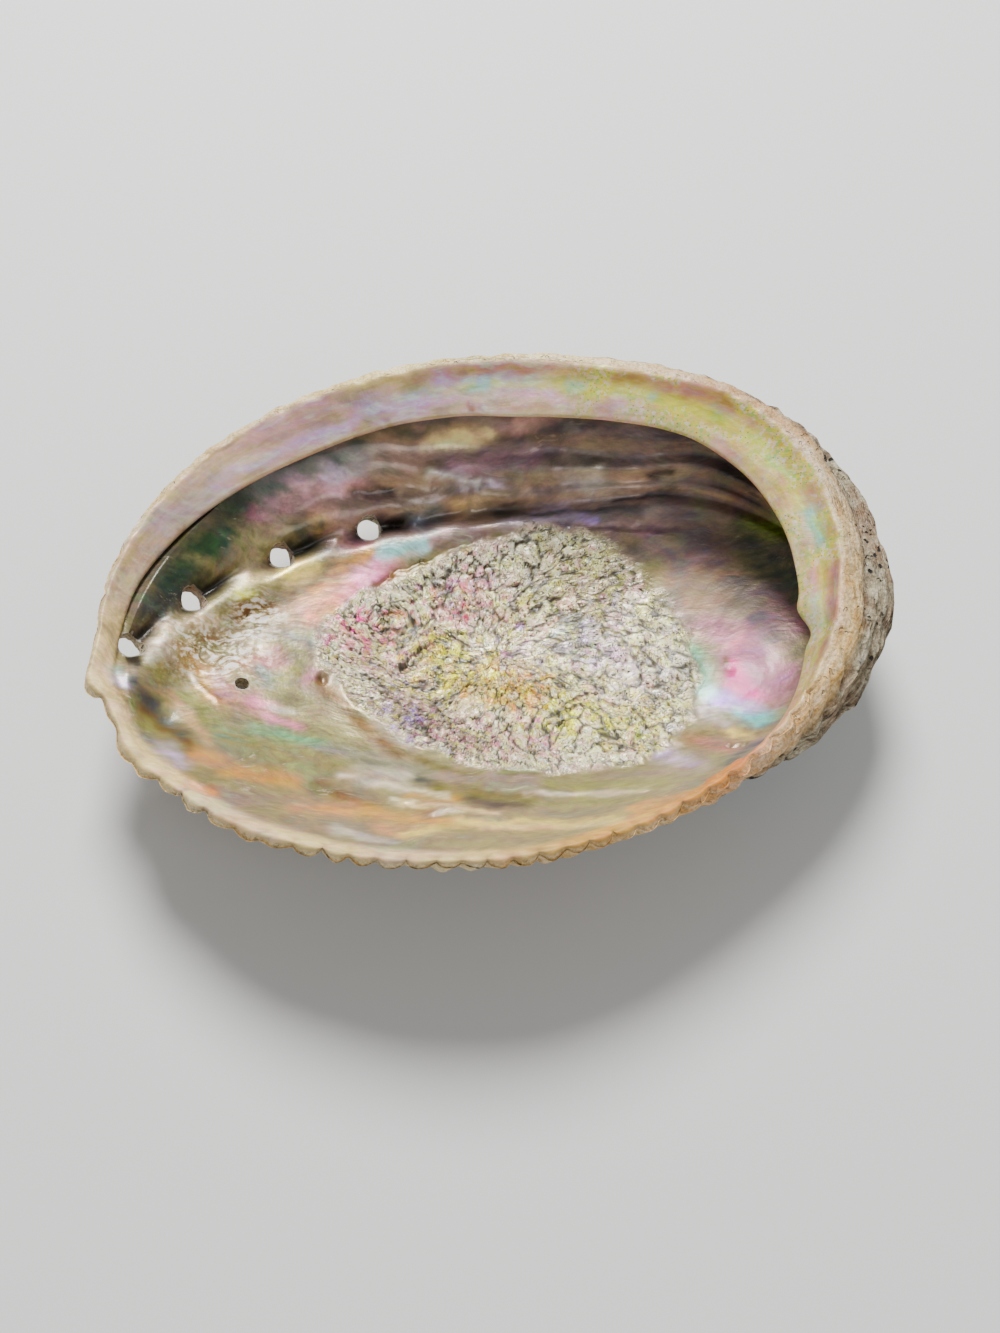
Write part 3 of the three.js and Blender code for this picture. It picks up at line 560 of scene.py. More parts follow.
# how deep the dimple of a hole is here, from 0 to 1: round the hole and in the trough that runs back from it
def poreShare(age, azimuth):
    share = 0
    for holeAge in holes["open"] + holes["closed"][:2]:
        if abs(age - holeAge) < 0.2:
            along, across = fromHole(age, azimuth, holeAge)
            here = bell(along, 3.6) * bell(across, 3.4)
            if along > 0:
                here = max(here, bell(max(0, along - 4.5), 4) * bell(across, 2.3))
            share = max(share, here * (1 if holeAge in holes["open"] else 0.55))
    return share


# each bit of the scar takes its colour from a place a little way off
def toss(place):
    far = painting["toss"]
    return noise.cell_vector(place / painting["flake"]) * far - Vector((far, far, far)) / 2


def inside(azimuth, reach):
    x, y = reach * math.cos(azimuth), reach * math.sin(azimuth)
    place = smoothBack(x, y)
    out = backNormal(x, y)
    age, laidAt = growthAt(x, y)
    wall = mix(shell["floorThickness"], shell["wallThickness"], smoothStep(reach, 0.2, 0.6))
    thickness = mix(wall, shell["lipThickness"], smoothStep(reach, 0.8, 1))
    relief = sharedRelief(x, y, age, laidAt) * (1 - 0.5 * smoothStep(reach, 0.85, 1))
    place += out * (relief - thickness)
    place.z -= shell["restWear"]
    ratio = scarReach(place)
    share = 1 - smoothStep(ratio, 0.95, 1.02)
    spot = drift(place)
    pore = poreShare(age, laidAt)
    height, edge, flake, flow = scarFlakes(place, ratio) if share > 0 else (0, 1, 0.5, place)
    floorTone, wallTone = inks["sage"].lerp(inks["haze"], 0.5), inks["rosewood"].lerp(inks["smoke"], 0.6)
    base = floorTone.lerp(wallTone, smoothStep(place.y, 22, 32))
    tone = painted(spot, base, bowlStrokes, tables["bowl"])
    if share > 0:
        tone = tone.lerp(painted(spot + toss(place), inks["ivory"], scarStrokes, tables["scar"]), share)
    detail = insideRelief(place, spot, age, laidAt) * smoothStep(1 - reach, 0, 0.05) * (1 - 0.8 * share)
    detail -= holes["dimple"] * pore
    for bx, by, radius in blisterRings:
        distance = math.hypot(spot.x - bx, spot.y - by)
        if distance < 2 * radius:
            detail += 0.5 * bell(distance - 0.8 * radius, 0.6) - 0.3 * bell(distance - 1.25 * radius, 0.5)
    loose = mix(0.35, 1, smoothStep(ratio, 0.1, 0.35)) if place.x < 12 else mix(0.55, 1, smoothStep(ratio, 0, 0.6))
    place -= out * (detail + share * (scar["lift"] + scar["wrinkle"] * loose * height))
    chalk = 1.3 * bell(math.hypot((spot.x + 57) / 1.5, spot.y + 5), 6)
    chalk += bell(math.hypot(spot.x + 50, spot.y - 5), 4.5)
    pocket = bell(math.hypot(place.x - 50, place.y + 5), 12)
    besideScar = 0.9 * (1 - share) * shareOf(place, 38, 22, 52, 8, 8)
    # hollowShade: painted shade, dark paint in the dimples round the holes and in the troughs behind them
    extras = {"scar": share, "edge": edge, "flake": flake, "flow": flow, "hollowShade": min(0.96, 1.3 * pore),
              "chalk": min(1, chalk), "calm": max(pocket, shareOf(place, -68, -20, -56, -31, 5), besideScar),
              "wall": smoothStep(place.y, 24, 33)}
    return place, age, laidAt, extras, tone


# rim: the plain lip blends into the shelf by azimuth
def wallTop(azimuth):
    return mix(0.92, 0.82, shelfShare(azimuth)) - 0.03 * bell(wrapTurn(azimuth - math.radians(325)), 0.6)


def rimKnots(part):
    azimuth = rimAzimuth(part)
    edge = outside(part, 1)[0]
    inner = inside(azimuth, 1)[0]
    top = wallTop(azimuth)
    valley = ribs["height"] * ribShape(part, 0)
    roll = (-0.7, 0.35, 0.55, 0.3, 0.3 * bell(1, 1), 0.3 * bell(2, 1), 0.3 * bell(3, 1), 0.3 * bell(4, 1))
    ribbed = (0, 0.2, 0.4, 0.3, 0.15, 0.05, 0, 0)
    lip = [edge.lerp(inner, k / 3) if k < 3 else inside(azimuth, mix(1, top, (k - 2) / 5))[0] for k in range(8)]
    lip = [knot + Vector((0, 0, roll[k] + ribbed[k] * valley)) for k, knot in enumerate(lip)]

    # the broad shelf ends in a small chipped step
    degrees = math.degrees(wrapTurn(azimuth))
    width = atAzimuth(shell["shelfWidth"], azimuth) + 1.1 * bell(degrees + 3.5, 2.5) - 1.3 * bell(degrees + 8.5, 2.5)
    drop, thick = shell["shelfDrop"], shell["shelfEdge"]
    lump = uneven(edge, "shelf")
    profile = [(0, 0), (1.1, 0.5 + lump), (2.3, 0.2 + 0.5 * lump), (0.58 * width, -0.5 * drop), (width, -drop),
               (width - 0.2, -drop - thick), (width - shell["shelfOverhang"], -drop - thick - 1.4)]
    smoothRim = smoothBack(math.cos(azimuth), math.sin(azimuth)) - Vector((0, 0, shell["restWear"]))
    shelf = []
    for k, (inward, rise) in enumerate(profile):
        wave = 0.5 * smoothStep(k, 1, 3) * rough(smoothRim + Vector((0, 0, 14 * k)), 14, 1)
        start = edge.lerp(smoothRim, smoothStep(k, 0, 3))
        inward += wave
        shelf.append(start + Vector((-inward * math.cos(azimuth), -inward * math.sin(azimuth), rise)))
    shelf.append(lip[7])
    share = shelfShare(azimuth)
    return [a.lerp(b, share) for a, b in zip(lip, shelf)]


def alongKnots(knots, row, t):
    return between(*(knots[min(len(knots) - 1, max(0, row + k))] for k in (-1, 0, 1, 2)), t)


# the shell is a grid whose rows run from the spire over the back, the rim and down to the floor
print("growing the shell")
backRows, floorRows = grid["backRows"], grid["floorRows"]
rimRows = sum(grid["rimSteps"])
rows = backRows + rimRows + floorRows
bm = bmesh.new()
bmesh.ops.create_grid(bm, x_segments=grid["around"], y_segments=rows, size=0.5)
growthLayer = bm.verts.layers.float_vector.new("growth")
flowLayer = bm.verts.layers.float_vector.new("flow")
toneLayer = bm.verts.layers.float_color.new("tone")
maskNames = ("inner", "scar", "edge", "flake", "chalk", "calm", "wall", "shelf", "hollowShade", "lip", "crest", "worn")
masks = {name: bm.verts.layers.float.new(name) for name in maskNames}


# fewer points go round where a row closes in on the spire or the middle of the floor
def coarser(part, size):
    points = grid["around"] / (1 if size > 0.3 else 2 if size > 0.13 else 4)
    return math.floor(part * points + 1e-6) / points


def backVertex(part, row):
    size = (row / backRows) ** 1.25
    place, age, laidAt, disc = outside(coarser(part, 1.6 * size), size)
    spireShare = bell(math.hypot(disc[0] - shell["spire"][0], disc[1] - shell["spire"][1]), 0.22)
    restShare = 1 - smoothStep(place.z, 0, 0.9)
    pearly = inks["lavender"].lerp(inks["aqua"], 0.5 + rough(place, 9))
    tone = crestTone(laidAt).lerp(pearly, 1 - smoothStep(size, 0.4, 0.8))
    fresh = freshFrom(laidAt)
    extras = {"worn": max(spireShare, 0.8 * restShare), "crest": smoothStep(size, fresh - 0.02, fresh + 0.03)}
    return place, age, laidAt, extras, tone


# bands that run along the shelf, from its stained outer side to its thin inner edge
def shelfTone(place, spot, azimuth, along):
    tone = painted(spot, inks["rose"], shelfStrokes, tables["shelf"])
    rightHand = smoothStep(math.cos(azimuth - math.radians(38)), 0.0, 0.6)
    across = along + 0.22 * rough(place, 7, 3) + 0.1 * rough(place, 2.5, 5)
    patch = 0.5 + 0.9 * rough(place, 6, 21)
    bright = inks["green"].lerp(inks["lemon"], min(1, max(0, 1.6 * patch)))
    if patch < 0.28:
        bright = bright.lerp(inks["aqua"], 0.7)
    tone = tone.lerp(inks["honey"].lerp(inks["bark"], 0.55), rightHand * bell(across - 2.25, 0.42))
    tone = tone.lerp(bright, 0.7 * rightHand * bell(across - 2.95, 0.24))
    tone = tone.lerp(inks["salmon"], 0.4 * rightHand * bell(across - 3.32, 0.12))
    tone = tone.lerp(inks["tan"], mix(0.3, 0.75, rightHand) * bell(across - 3.66, 0.22))
    return tone.lerp(inks["butter"].lerp(inks["ivory"], 0.5), 0.8 * bell(along - 4.1, 0.2))


def rimVertex(part, step):
    azimuth = rimAzimuth(part)
    if part not in knotsAt:
        knotsAt[part] = rimKnots(part)
    knot = 0
    while step > grid["rimSteps"][knot]:
        step -= grid["rimSteps"][knot]
        knot += 1
    t = step / grid["rimSteps"][knot]
    along = knot + t
    place = alongKnots(knotsAt[part], knot, t)
    share = shelfShare(azimuth)
    spot = drift(place)
    lip = (1 - share) * (1 - smoothStep(along, 3.5, 7.0))
    tone = painted(spot, inks["sage"].lerp(inks["haze"], 0.6), bowlStrokes, tables["bowl"])
    tone = tone.lerp(shelfTone(place, spot, azimuth, along), share * (1 - smoothStep(along, 4.3, 5.0)))
    crest = max(lip, share * (1 - smoothStep(along, 1.2, 2.3)))
    tone = tone.lerp(crestTone(azimuth), 0.85 * crest)
    # rib valleys on the lip are darkened towards bark: painted shade between the scallops
    valley = min(0.6, -0.5 * ribShape(part, 0)) * crest * (1 - share)
    tone = tone.lerp(inks["bark"], valley * (1 - smoothStep(along, 2, 4)))
    shelfTop = share * smoothStep(along, 1.0, 2.0) * (1 - smoothStep(along, 4.2, 5))
    inner = smoothStep(along, mix(0.4, 1.3, share), mix(1.6, 2.3, share))
    # hollowShade here is painted shade on the underside of the shelf's overhang
    extras = {"inner": inner, "shelf": shelfTop, "lip": max(lip, crest), "crest": 1,
              "hollowShade": 0.8 * share * smoothStep(along, 4.3, 5.2)}
    return place, 0.01 * along, azimuth, extras, tone


def floorVertex(part, down):
    azimuth = rimAzimuth(coarser(part, 1 - down))
    place, age, laidAt, extras, tone = inside(azimuth, wallTop(azimuth) * (1 - down))
    # painted shade on the wall just under the shelf, carried in hollowShade
    under = 0.8 * shelfShare(azimuth) * (1 - smoothStep(down, 0, 0.16))
    return place, age, laidAt, {**extras, "inner": 1, "hollowShade": max(extras["hollowShade"], under)}, tone


# nothing stands outside the solid's own box
def keepInside(place):
    soft = 1.5
    for k in range(3):
        low, high = cadBounds[0][k] / mm + soft, cadBounds[1][k] / mm - soft
        if place[k] > high:
            place[k] = high + soft * math.tanh((place[k] - high) / soft)
        if k < 2 and place[k] < low:
            place[k] = low - soft * math.tanh((low - place[k]) / soft)
    return place


knotsAt = {}
for vert in bm.verts:
    part = round((vert.co.x + 0.5) * grid["around"]) % grid["around"] / grid["around"]
    row = round((vert.co.y + 0.5) * rows)
    if row <= backRows:
        place, age, laidAt, extras, tone = backVertex(part, row)
    elif row <= backRows + rimRows:
        place, age, laidAt, extras, tone = rimVertex(part, row - backRows)
    else:
        place, age, laidAt, extras, tone = floorVertex(part, (row - backRows - rimRows) / floorRows)
    vert[growthLayer] = Vector((math.cos(laidAt), math.sin(laidAt), age))
    vert[flowLayer] = extras.get("flow", place)
    vert[toneLayer] = (*tone, 1)
    for name in maskNames:
        vert[masks[name]] = extras.get(name, 0)
    vert.co = keepInside(place) * mm

bmesh.ops.remove_doubles(bm, verts=bm.verts, dist=1e-7)
bmesh.ops.dissolve_degenerate(bm, edges=bm.edges, dist=1e-8)
bmesh.ops.recalc_face_normals(bm, faces=bm.faces)
mesh = bpy.data.meshes.new("abaloneShell")
bm.to_mesh(mesh)
bm.free()
abalone = bpy.data.objects.new("abaloneShell", mesh)
bpy.context.scene.collection.objects.link(abalone)


# bore the holes
def boreCone(bm, disc, radius):
    x, y = disc
    out = backNormal(x, y)
    age, laidAt = growthAt(x, y)
    foot = smoothBack(x, y) + out * (sharedRelief(x, y, age, laidAt) - 12)
    foot.z -= shell["restWear"]
    long = 20 * mm
    made = bmesh.ops.create_cone(bm, cap_ends=True, segments=40, radius1=(radius + 0.4) * mm, radius2=radius * mm,
                                 depth=long)
    # the bore walls get 0.8 of hollowShade: painted shade inside the holes, over an umber tone
    for vert in made["verts"]:
        vert[bm.verts.layers.float.get("inner")] = 1
        vert[bm.verts.layers.float.get("hollowShade")] = 0.8
        vert[bm.verts.layers.float_color.get("tone")] = (*inks["umber"], 1)
    bmesh.ops.translate(bm, verts=made["verts"], vec=(0, 0, long / 2))
    bmesh.ops.rotate(bm, verts=made["verts"], matrix=Vector((0, 0, 1)).rotation_difference(out).to_matrix())
    bmesh.ops.translate(bm, verts=made["verts"], vec=foot * mm)


print("boring the holes")
bm = bmesh.new()
bm.verts.layers.float_vector.new("growth")
bm.verts.layers.float_vector.new("flow")
bm.verts.layers.float_color.new("tone")
for name in maskNames:
    bm.verts.layers.float.new(name)
for holeAge in holes["open"]:
    boreCone(bm, grownFrom(math.radians(holes["row"]), math.exp(-shell["growthRate"] * holeAge)), holes["radius"])
boreCone(bm, holes["bored"], holes["boredRadius"])
drillMesh = bpy.data.meshes.new("drills")
bm.to_mesh(drillMesh)
bm.free()
drills = bpy.data.objects.new("drills", drillMesh)
bpy.context.scene.collection.objects.link(drills)
cut = abalone.modifiers.new("bores", "BOOLEAN")
cut.operation = "DIFFERENCE"
cut.solver = "MANIFOLD"
cut.object = drills
evaluated = abalone.evaluated_get(bpy.context.evaluated_depsgraph_get())
boredMesh = bpy.data.meshes.new_from_object(evaluated)
abalone.modifiers.clear()
abalone.data = boredMesh
boredMesh.name = "abaloneShell"
bpy.data.objects.remove(drills)
boredMesh.shade_smooth()
boredMesh.set_sharp_from_angle(angle=math.radians(65))
triangles = sum(len(face.vertices) - 2 for face in boredMesh.polygons)
print("shell has", triangles, "triangles")


# materials
def ink(name):
    return (*inks[name], 1)


class Value:
    # an output socket; sums and products of it add Math nodes
    def __init__(self, finish, socket):
        self.finish, self.socket = finish, socket

    def __add__(self, other):
        return self.finish.calc("ADD", self, other)

    def __radd__(self, other):
        return self.finish.calc("ADD", other, self)

    def __sub__(self, other):
        return self.finish.calc("SUBTRACT", self, other)

    def __rsub__(self, other):
        return self.finish.calc("SUBTRACT", other, self)

    def __mul__(self, other):
        return self.finish.calc("MULTIPLY", self, other)

    def __rmul__(self, other):
        return self.finish.calc("MULTIPLY", other, self)


class Node:
    # a node whose outputs are reached by name or number
    def __init__(self, finish, node):
        self.finish, self.node = finish, node

    def __getitem__(self, key):
        return Value(self.finish, self.node.outputs[key])


class Finish:
    # a material and the one way to add nodes to it
    def __init__(self, name):
        self.material = bpy.data.materials.new(name)
        self.material.use_nodes = True
        self.tree = self.material.node_tree
        self.tree.nodes.clear()

    def add(self, kind, settings=None, sockets=None):
        node = self.tree.nodes.new(kind)
        for key, value in (settings or {}).items():
            if key == "stops":
                ramp = node.color_ramp
                for number, (place, colour) in enumerate(value):
                    stop = ramp.elements[0] if number == 0 else ramp.elements.new(place)
                    stop.position = place
                    stop.color = ink(colour) if isinstance(colour, str) else (*linear(colour), 1)
                ramp.elements.remove(ramp.elements[-1])
            else:
                setattr(node, key, value)
        for key, value in (sockets or {}).items():
            if isinstance(value, Value):
                self.tree.links.new(value.socket, node.inputs[key])
            else:
                node.inputs[key].default_value = value
        return Node(self, node)

    def calc(self, operation, first, second=0.0):
        return self.add("ShaderNodeMath", {"operation": operation}, {0: first, 1: second})[0]

    def attribute(self, name, output="Fac"):
        return self.add("ShaderNodeAttribute", {"attribute_name": name})[output]

    def stretch(self, vector, scale):
        return self.add("ShaderNodeVectorMath", {"operation": "MULTIPLY"}, {0: vector, 1: scale})[0]

    def shift(self, vector, amount):
        return self.add("ShaderNodeVectorMath", {"operation": "ADD"}, {0: vector, 1: amount})[0]

    def noise(self, vector, scale, detail=2.0, roughness=0.5, distortion=0.0):
        return self.add("ShaderNodeTexNoise", {}, {"Vector": vector, "Scale": scale, "Detail": detail,
                                                   "Roughness": roughness, "Distortion": distortion})

    def cells(self, vector, scale, feature="F1"):
        return self.add("ShaderNodeTexVoronoi", {"feature": feature}, {"Vector": vector, "Scale": scale})

    # warped and patches take their noise from the place on the shell in millimetres
    def warped(self, vector, scale, far):
        return self.shift(vector, self.stretch(self.noise(place, scale, 2)["Color"], far))

    def ramp(self, value, stops):
        return self.add("ShaderNodeValToRGB", {"stops": stops}, {0: value})[0]

    def ease(self, value, low, high, toLow=0.0, toHigh=1.0):
        return self.add("ShaderNodeMapRange", {"interpolation_type": "SMOOTHSTEP"},
                        {"Value": value, "From Min": low, "From Max": high, "To Min": toLow, "To Max": toHigh})[0]

    def patches(self, scale, detail, low, high, toLow=0.0, toHigh=1.0, roughness=0.5):
        return self.ease(self.noise(place, scale, detail, roughness)[0], low, high, toLow, toHigh)

    def folded(self, vector, scale, detail, roughness, times):
        return self.calc("PINGPONG", self.noise(self.stretch(vector, scale), 1, detail, roughness)[0] * times, 0.5)

    def axis(self, vector, number):
        return self.add("ShaderNodeSeparateXYZ", {}, {0: vector})[number]

    def mixed(self, first, second, share, blend="MIX"):
        return self.add("ShaderNodeMix", {"data_type": "RGBA", "blend_type": blend, "clamp_result": True},
                        {0: share, 6: first, 7: second})[2]

    def toned(self, colour, saturation, brightness, share=1.0):
        return self.add("ShaderNodeHueSaturation", {},
                        {"Saturation": saturation, "Value": brightness, "Fac": share, "Color": colour})[0]

    def dimmed(self, colour, brightness):
        grey = self.add("ShaderNodeCombineColor", {}, {0: brightness, 1: brightness, 2: brightness})[0]
        return self.mixed(colour, grey, 1.0, "MULTIPLY")

    def bump(self, height, strength, distance):
        return self.add("ShaderNodeBump", {}, {"Strength": strength, "Distance": distance, "Height": height})[0]


pearl = {
    "rainbow": [(0.0, "jade"), (0.16, "rose"), (0.3, "butter"), (0.42, "ivory"),
                (0.52, "pink"), (0.64, "violet"), (0.76, "ice"), (0.88, "jade"), (1.0, "butter")],
    "flakes": [(0.0, "silver"), (0.2, "ivory"), (0.34, "pink"), (0.44, "ivory"),
               (0.56, "lemon"), (0.64, "ivory"), (0.74, "haze"), (0.86, "lavender"), (1.0, "gold")],
    "chips": [(0.0, "rust"), (0.2, "bark"), (0.34, "sage"), (0.55, "haze"), (0.76, "cream"),
              (0.9, "ivory"), (1.0, "sage")],
    "glints": [(0.0, "gold"), (0.3, "lemon"), (0.45, "green"), (0.6, "butter"),
               (0.75, "ivory"), (1.0, "pink")],
    "rainbowShare": 0.3, "flakeShare": 0.36, "flakeSaturation": 1.2, "crack": (0.05, 0.042, 0.03, 1),
    "wallSaturation": 0.7, "wallBrightness": 1.35, "metallic": (0.2, 0.42), "roughness": (0.3, 0.44),
    "coatRoughness": 0.1, "bump": (0.55, 0.0006),  # strength, metres
}
crust = {
    "sheets": [(0.0, (0.20, 0.18, 0.15)), (0.3, (0.44, 0.39, 0.33)), (0.5, (0.62, 0.58, 0.50)),
               (0.7, (0.78, 0.75, 0.68)), (1.0, (0.91, 0.90, 0.87))],
    "fresh": [(0.0, "bark"), (0.3, "honey"), (0.5, "cream"), (0.7, "ivory"), (1.0, "cream")],
    "red": (0.48, 0.33, 0.24), "gap": (0.07, 0.055, 0.045), "roughness": 0.75, "bump": (0.9, 0.001),
}

finish = Finish("pearlAndCrust")
place = finish.add("ShaderNodeVectorMath", {"operation": "SCALE"},
                   {0: finish.add("ShaderNodeTexCoord")["Object"], "Scale": 1000.0})[0]
growth, flow = finish.attribute("growth", "Vector"), finish.attribute("flow", "Vector")
tone = finish.attribute("tone", "Color")
inner, scarMask, flakeEdge, flake, chalk, calm, wall, shelfMask, hollowShade, lipMask, crestMask, worn = (
    finish.attribute(name) for name in maskNames)

# pearl: clouds of colour, streaks that run along the bowl and ripples along old lips
print("mixing pearl and crust")
cloud = finish.noise(place, 0.09, 3.0, 0.55, 0.6)[0]
bend = finish.warped(place, 0.05, (0, 14, 8))
streak = finish.noise(finish.stretch(bend, (0.06, 0.32, 0.2)), 1, 4, 0.62)[0]
ripple = finish.noise(finish.stretch(growth, (3, 3, 70)), 1, 3, 0.6)[0]
hue = cloud * 1.3 + streak * 1.1 + ripple * 0.3 - 0.85
rainbow = finish.ramp(hue, pearl["rainbow"])
pearlColour = finish.mixed(tone, rainbow, pearl["rainbowShare"], "SOFT_LIGHT")
mottle = finish.noise(finish.stretch(bend, (0.36, 0.8, 0.6)), 1, 4, 0.65)
nearWall = finish.ease(finish.axis(place, 1), -32.0, -22.0, 1.0, 0.0)
plain = shelfMask * 0.6 + calm * 0.8 + (nearWall * 0.35 + wall * 0.4) * (1 - calm) * (1 - shelfMask)
pearlColour = finish.mixed(pearlColour, mottle["Color"], 0.22 * (1 - plain), "SOFT_LIGHT")
shade = finish.ease(streak * 0.5 + mottle[0] * 0.5, 0.34, 0.66, 0.58, 1.35)
pearlColour = finish.dimmed(pearlColour, shade * (1 - plain) + plain)
thread = finish.noise(finish.stretch(bend, (0.05, 0.9, 0.6)), 1, 3, 0.7)[0]
# ivory threads along the bowl: cream growth lines that are also painted highlights
threadsAndHighlights = finish.ease(thread, 0.6, 0.72) * finish.ease(cloud, 0.42, 0.58) * (1 - shelfMask) * (1 - calm)
pearlColour = finish.mixed(pearlColour, ink("ivory"), threadsAndHighlights * (0.35 - wall * 0.25))

# fine bands and glittering points of colour on the shelf
bands = finish.noise(finish.stretch(growth, (5, 5, 160)), 1, 4, 0.6)[0]
pearlColour = finish.mixed(pearlColour, finish.ramp(bands * 2.2 - 0.6, pearl["rainbow"]), shelfMask * 0.16)
bandShade = finish.ease(bands, 0.35, 0.65, 0.72, 1.12)
pearlColour = finish.dimmed(pearlColour, bandShade * shelfMask + (1 - shelfMask))
glint = finish.ramp(finish.cells(place, 1.5)["Color"], pearl["glints"])
glitter = finish.patches(0.12, 2, 0.4, 0.55) * finish.ease(finish.axis(growth, 0), 0.1, 0.5) * 0.7
pearlColour = finish.mixed(pearlColour, glint, shelfMask * glitter * 0.6)
speck = finish.cells(place, 1.15)["Distance"]
pearlColour = finish.mixed(pearlColour, ink("bark"), shelfMask * glitter * (1 - finish.ease(speck, 0.12, 0.24)))
# the far wall below the shelf is made greyer and painted lighter: painted light lifting the shade under the shelf
pearlColour = finish.toned(pearlColour, pearl["wallSaturation"], pearl["wallBrightness"], wall)

# the scar: pale flakes between thin dark cracks
curls = finish.warped(flow, 0.7, (1.8, 1.8, 0))
swirl = finish.calc("PINGPONG", finish.noise(curls, 0.36, 3, 0.6)[0] * 10, 0.5)
curlLine = 1 - finish.ease(swirl, 0.02, 0.17)
tinyCrack = 1 - finish.ease(finish.cells(curls, 1.3, "DISTANCE_TO_EDGE")["Distance"], 0.0, 0.12)
broken = finish.patches(0.9, 2, 0.4, 0.56)
crack = finish.ease(flakeEdge, 0.0, 0.16) * (1 - curlLine * broken)
crack = crack * (1 - tinyCrack * finish.patches(0.2, 2, 0.42, 0.58) * 0.5)
flakeHue = flake * 0.9 + finish.noise(place, 0.2, 3, 0.7)[0] * 1.0 - 0.45
flakes = finish.mixed(tone, finish.ramp(flakeHue, pearl["flakes"]), pearl["flakeShare"])
flakes = finish.dimmed(flakes, finish.ease(finish.noise(curls, 0.9, 3, 0.7)[0], 0.3, 0.65, 0.95, 1.5))
flakes = finish.toned(flakes, pearl["flakeSaturation"], 1.0)
pearlColour = finish.mixed(pearlColour, finish.mixed(pearl["crack"], flakes, crack), scarMask)

# chipped scales round the young holes
chips = finish.folded(finish.warped(bend, 0.25, (6, 3, 0)), (0.15, 0.38, 0.3), 3, 0.6, 4) + (1 - broken) * 0.2
pearlColour = finish.mixed(pearlColour, finish.ramp(chips * 2, pearl["chips"]), chalk * 0.7)
# painted shade: dark paint mixed in by the hollowShade mask
pearlColour = finish.mixed(pearlColour, ink("dark"), hollowShade)
# painted shade: the calm places (the pocket, the furrow and beside the scar) are painted darker
pearlColour = finish.dimmed(pearlColour, 1 - calm * 0.22)

pearlHeight = crack * scarMask * 1.2 + streak * 0.3 + thread * 0.1 + finish.noise(place, 1.1, 3)[0] * 0.15
pearlBump = finish.bump(pearlHeight, *pearl["bump"])
dull = (1 - lipMask * 0.9) * (1 - scarMask * 0.7) * (1 - chalk * 0.7) * (1 - calm * 0.4)
matt = lipMask * 0.25 + chalk * 0.25 + calm * 0.15
pearlShader = finish.add("ShaderNodeBsdfPrincipled", {}, {
    "Base Color": pearlColour, "Metallic": finish.ease(streak, 0.3, 0.7, *pearl["metallic"]) * dull,
    "Roughness": finish.ease(cloud, 0.35, 0.65, *pearl["roughness"]) + matt,
    "Coat Weight": (wall * 0.25 + 0.15) * (1 - lipMask), "Coat Roughness": pearl["coatRoughness"],
    "Normal": pearlBump})[0]

# crust: chalky layers with dark gaps along the growth and small borings; the fresh edge is cream
sheets = finish.noise(finish.stretch(growth, (7, 7, 30)), 1, 5, 0.65)[0]
grain = finish.noise(place, 0.35, 5, 0.65)[0]
crustColour = finish.ramp(sheets * 0.9 + grain * 1.0 - 0.45, crust["sheets"])
redShare = finish.patches(0.06, 3, 0.5, 0.62, 0.0, 0.45, 0.6)
crustColour = finish.mixed(crustColour, (*linear(crust["red"]), 1), redShare)
freshEdge = finish.mixed(tone, finish.ramp(sheets * 1.4 + grain * 0.6 - 0.5, crust["fresh"]), 0.4)
crustColour = finish.mixed(crustColour, freshEdge, crestMask * 0.85)
boring = finish.cells(finish.warped(place, 0.42, (3, 3, 3)), 0.55)["Distance"]
borings = (1 - finish.ease(boring, 0.16, 0.3)) * finish.patches(0.09, 2, 0.45, 0.56)
gapLine = finish.folded(growth, (2.2, 2.2, 24), 4, 0.55, 5)
gaps = (1 - finish.ease(gapLine, 0.02, 0.13)) * finish.patches(0.12, 3, 0.48, 0.64, 0.0, 0.75)
pits = finish.calc("MAXIMUM", borings, gaps)
crustColour = finish.mixed(crustColour, (*linear(crust["gap"]), 1), pits * (1 - crestMask * 0.85))
crustColour = finish.dimmed(crustColour, finish.patches(1.7, 3, 0.35, 0.62, 0.7, 1.25, 0.7))
crustHeight = (grain * 1.2 + sheets * 0.8 - pits * 0.9) * (1 - crestMask * 0.5)
crustBump = finish.bump(crustHeight, *crust["bump"])
crustShader = finish.add("ShaderNodeBsdfPrincipled", {}, {
    "Base Color": crustColour, "Roughness": crust["roughness"] - crestMask * 0.3, "Normal": crustBump})[0]

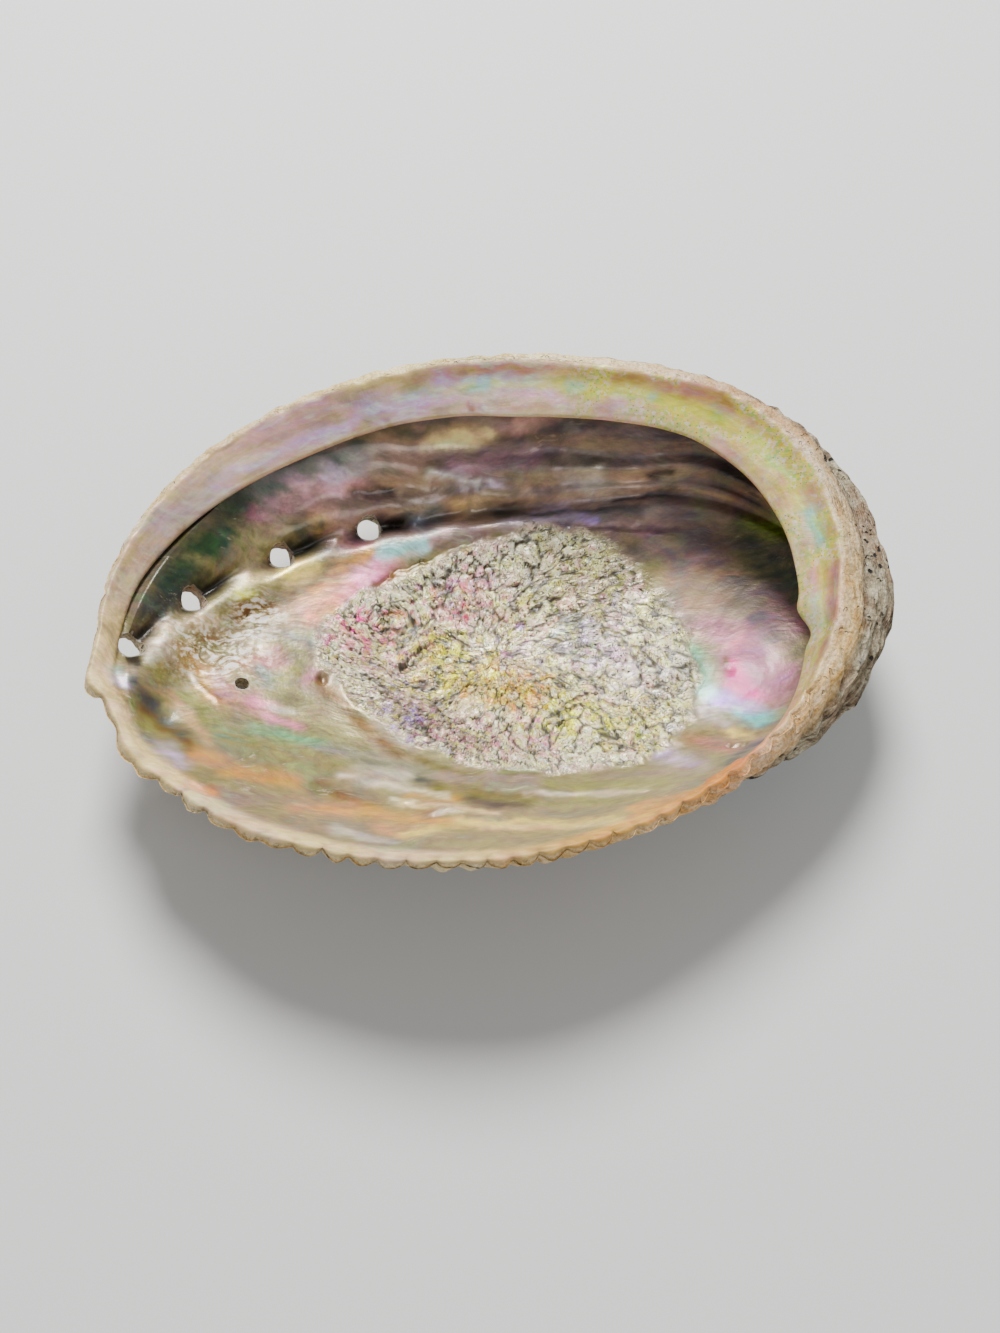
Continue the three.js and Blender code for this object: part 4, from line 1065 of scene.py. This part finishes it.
wornShare = worn * finish.patches(0.2, 4, 0.42, 0.55, roughness=0.6)
pearlShare = finish.ease(inner + wornShare, 0.0, 1.0)
both = finish.add("ShaderNodeMixShader", {}, {0: pearlShare, 1: crustShader, 2: pearlShader})[0]
finish.add("ShaderNodeOutputMaterial", {}, {0: both})
boredMesh.materials.clear()
boredMesh.materials.append(finish.material)

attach(abalone, "root")
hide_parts("shell")

# floor, camera and light
studio = {
    "floor": (0.72, 0.72, 0.71), "floorSize": 3,
    "cameraHeight": 232.5, "cameraBack": 134.2, "cameraTilt": 30, "sensor": 36, "lens": 1253 / 1333 * 36,
    "key": ((-0.07, 0.54, 0.72), 0.35, 16), "fill": ((0.5, -0.7, 0.8), 0.8, 3),  # place and width in metres, watts
    "world": 0.31,
}
print("setting the studio")
bm = bmesh.new()
bmesh.ops.create_grid(bm, x_segments=1, y_segments=1, size=studio["floorSize"])
floorMesh = bpy.data.meshes.new("floor")
bm.to_mesh(floorMesh)
bm.free()
floor = bpy.data.objects.new("floor", floorMesh)
bpy.context.scene.collection.objects.link(floor)
paper = Finish("palePaper")
paperShader = paper.add("ShaderNodeBsdfPrincipled", {}, {"Base Color": (*studio["floor"], 1), "Roughness": 0.8})[0]
paper.add("ShaderNodeOutputMaterial", {}, {0: paperShader})
floorMesh.materials.append(paper.material)

camera = bpy.data.objects.new("camera", bpy.data.cameras.new("camera"))
camera.location = (0, -studio["cameraBack"] * mm, studio["cameraHeight"] * mm)
camera.rotation_euler = (math.radians(studio["cameraTilt"]), 0, 0)
camera.data.sensor_width = studio["sensor"]
camera.data.lens = studio["lens"]
camera.data.clip_start = 0.01
bpy.context.scene.collection.objects.link(camera)
bpy.context.scene.camera = camera


def softLight(name, place, size, power):
    light = bpy.data.lights.new(name, "AREA")
    light.shape = "DISK"
    light.size, light.energy = size, power
    lamp = bpy.data.objects.new(name, light)
    lamp.location = place
    lamp.rotation_euler = (-Vector(place)).to_track_quat("-Z", "Y").to_euler()
    bpy.context.scene.collection.objects.link(lamp)


softLight("keyLight", *studio["key"])
softLight("fillLight", *studio["fill"])
world = bpy.data.worlds.new("studio")
world.use_nodes = True
world.node_tree.nodes["Background"].inputs[0].default_value = (1, 1, 1, 1)
world.node_tree.nodes["Background"].inputs[1].default_value = studio["world"]
bpy.context.scene.world = world
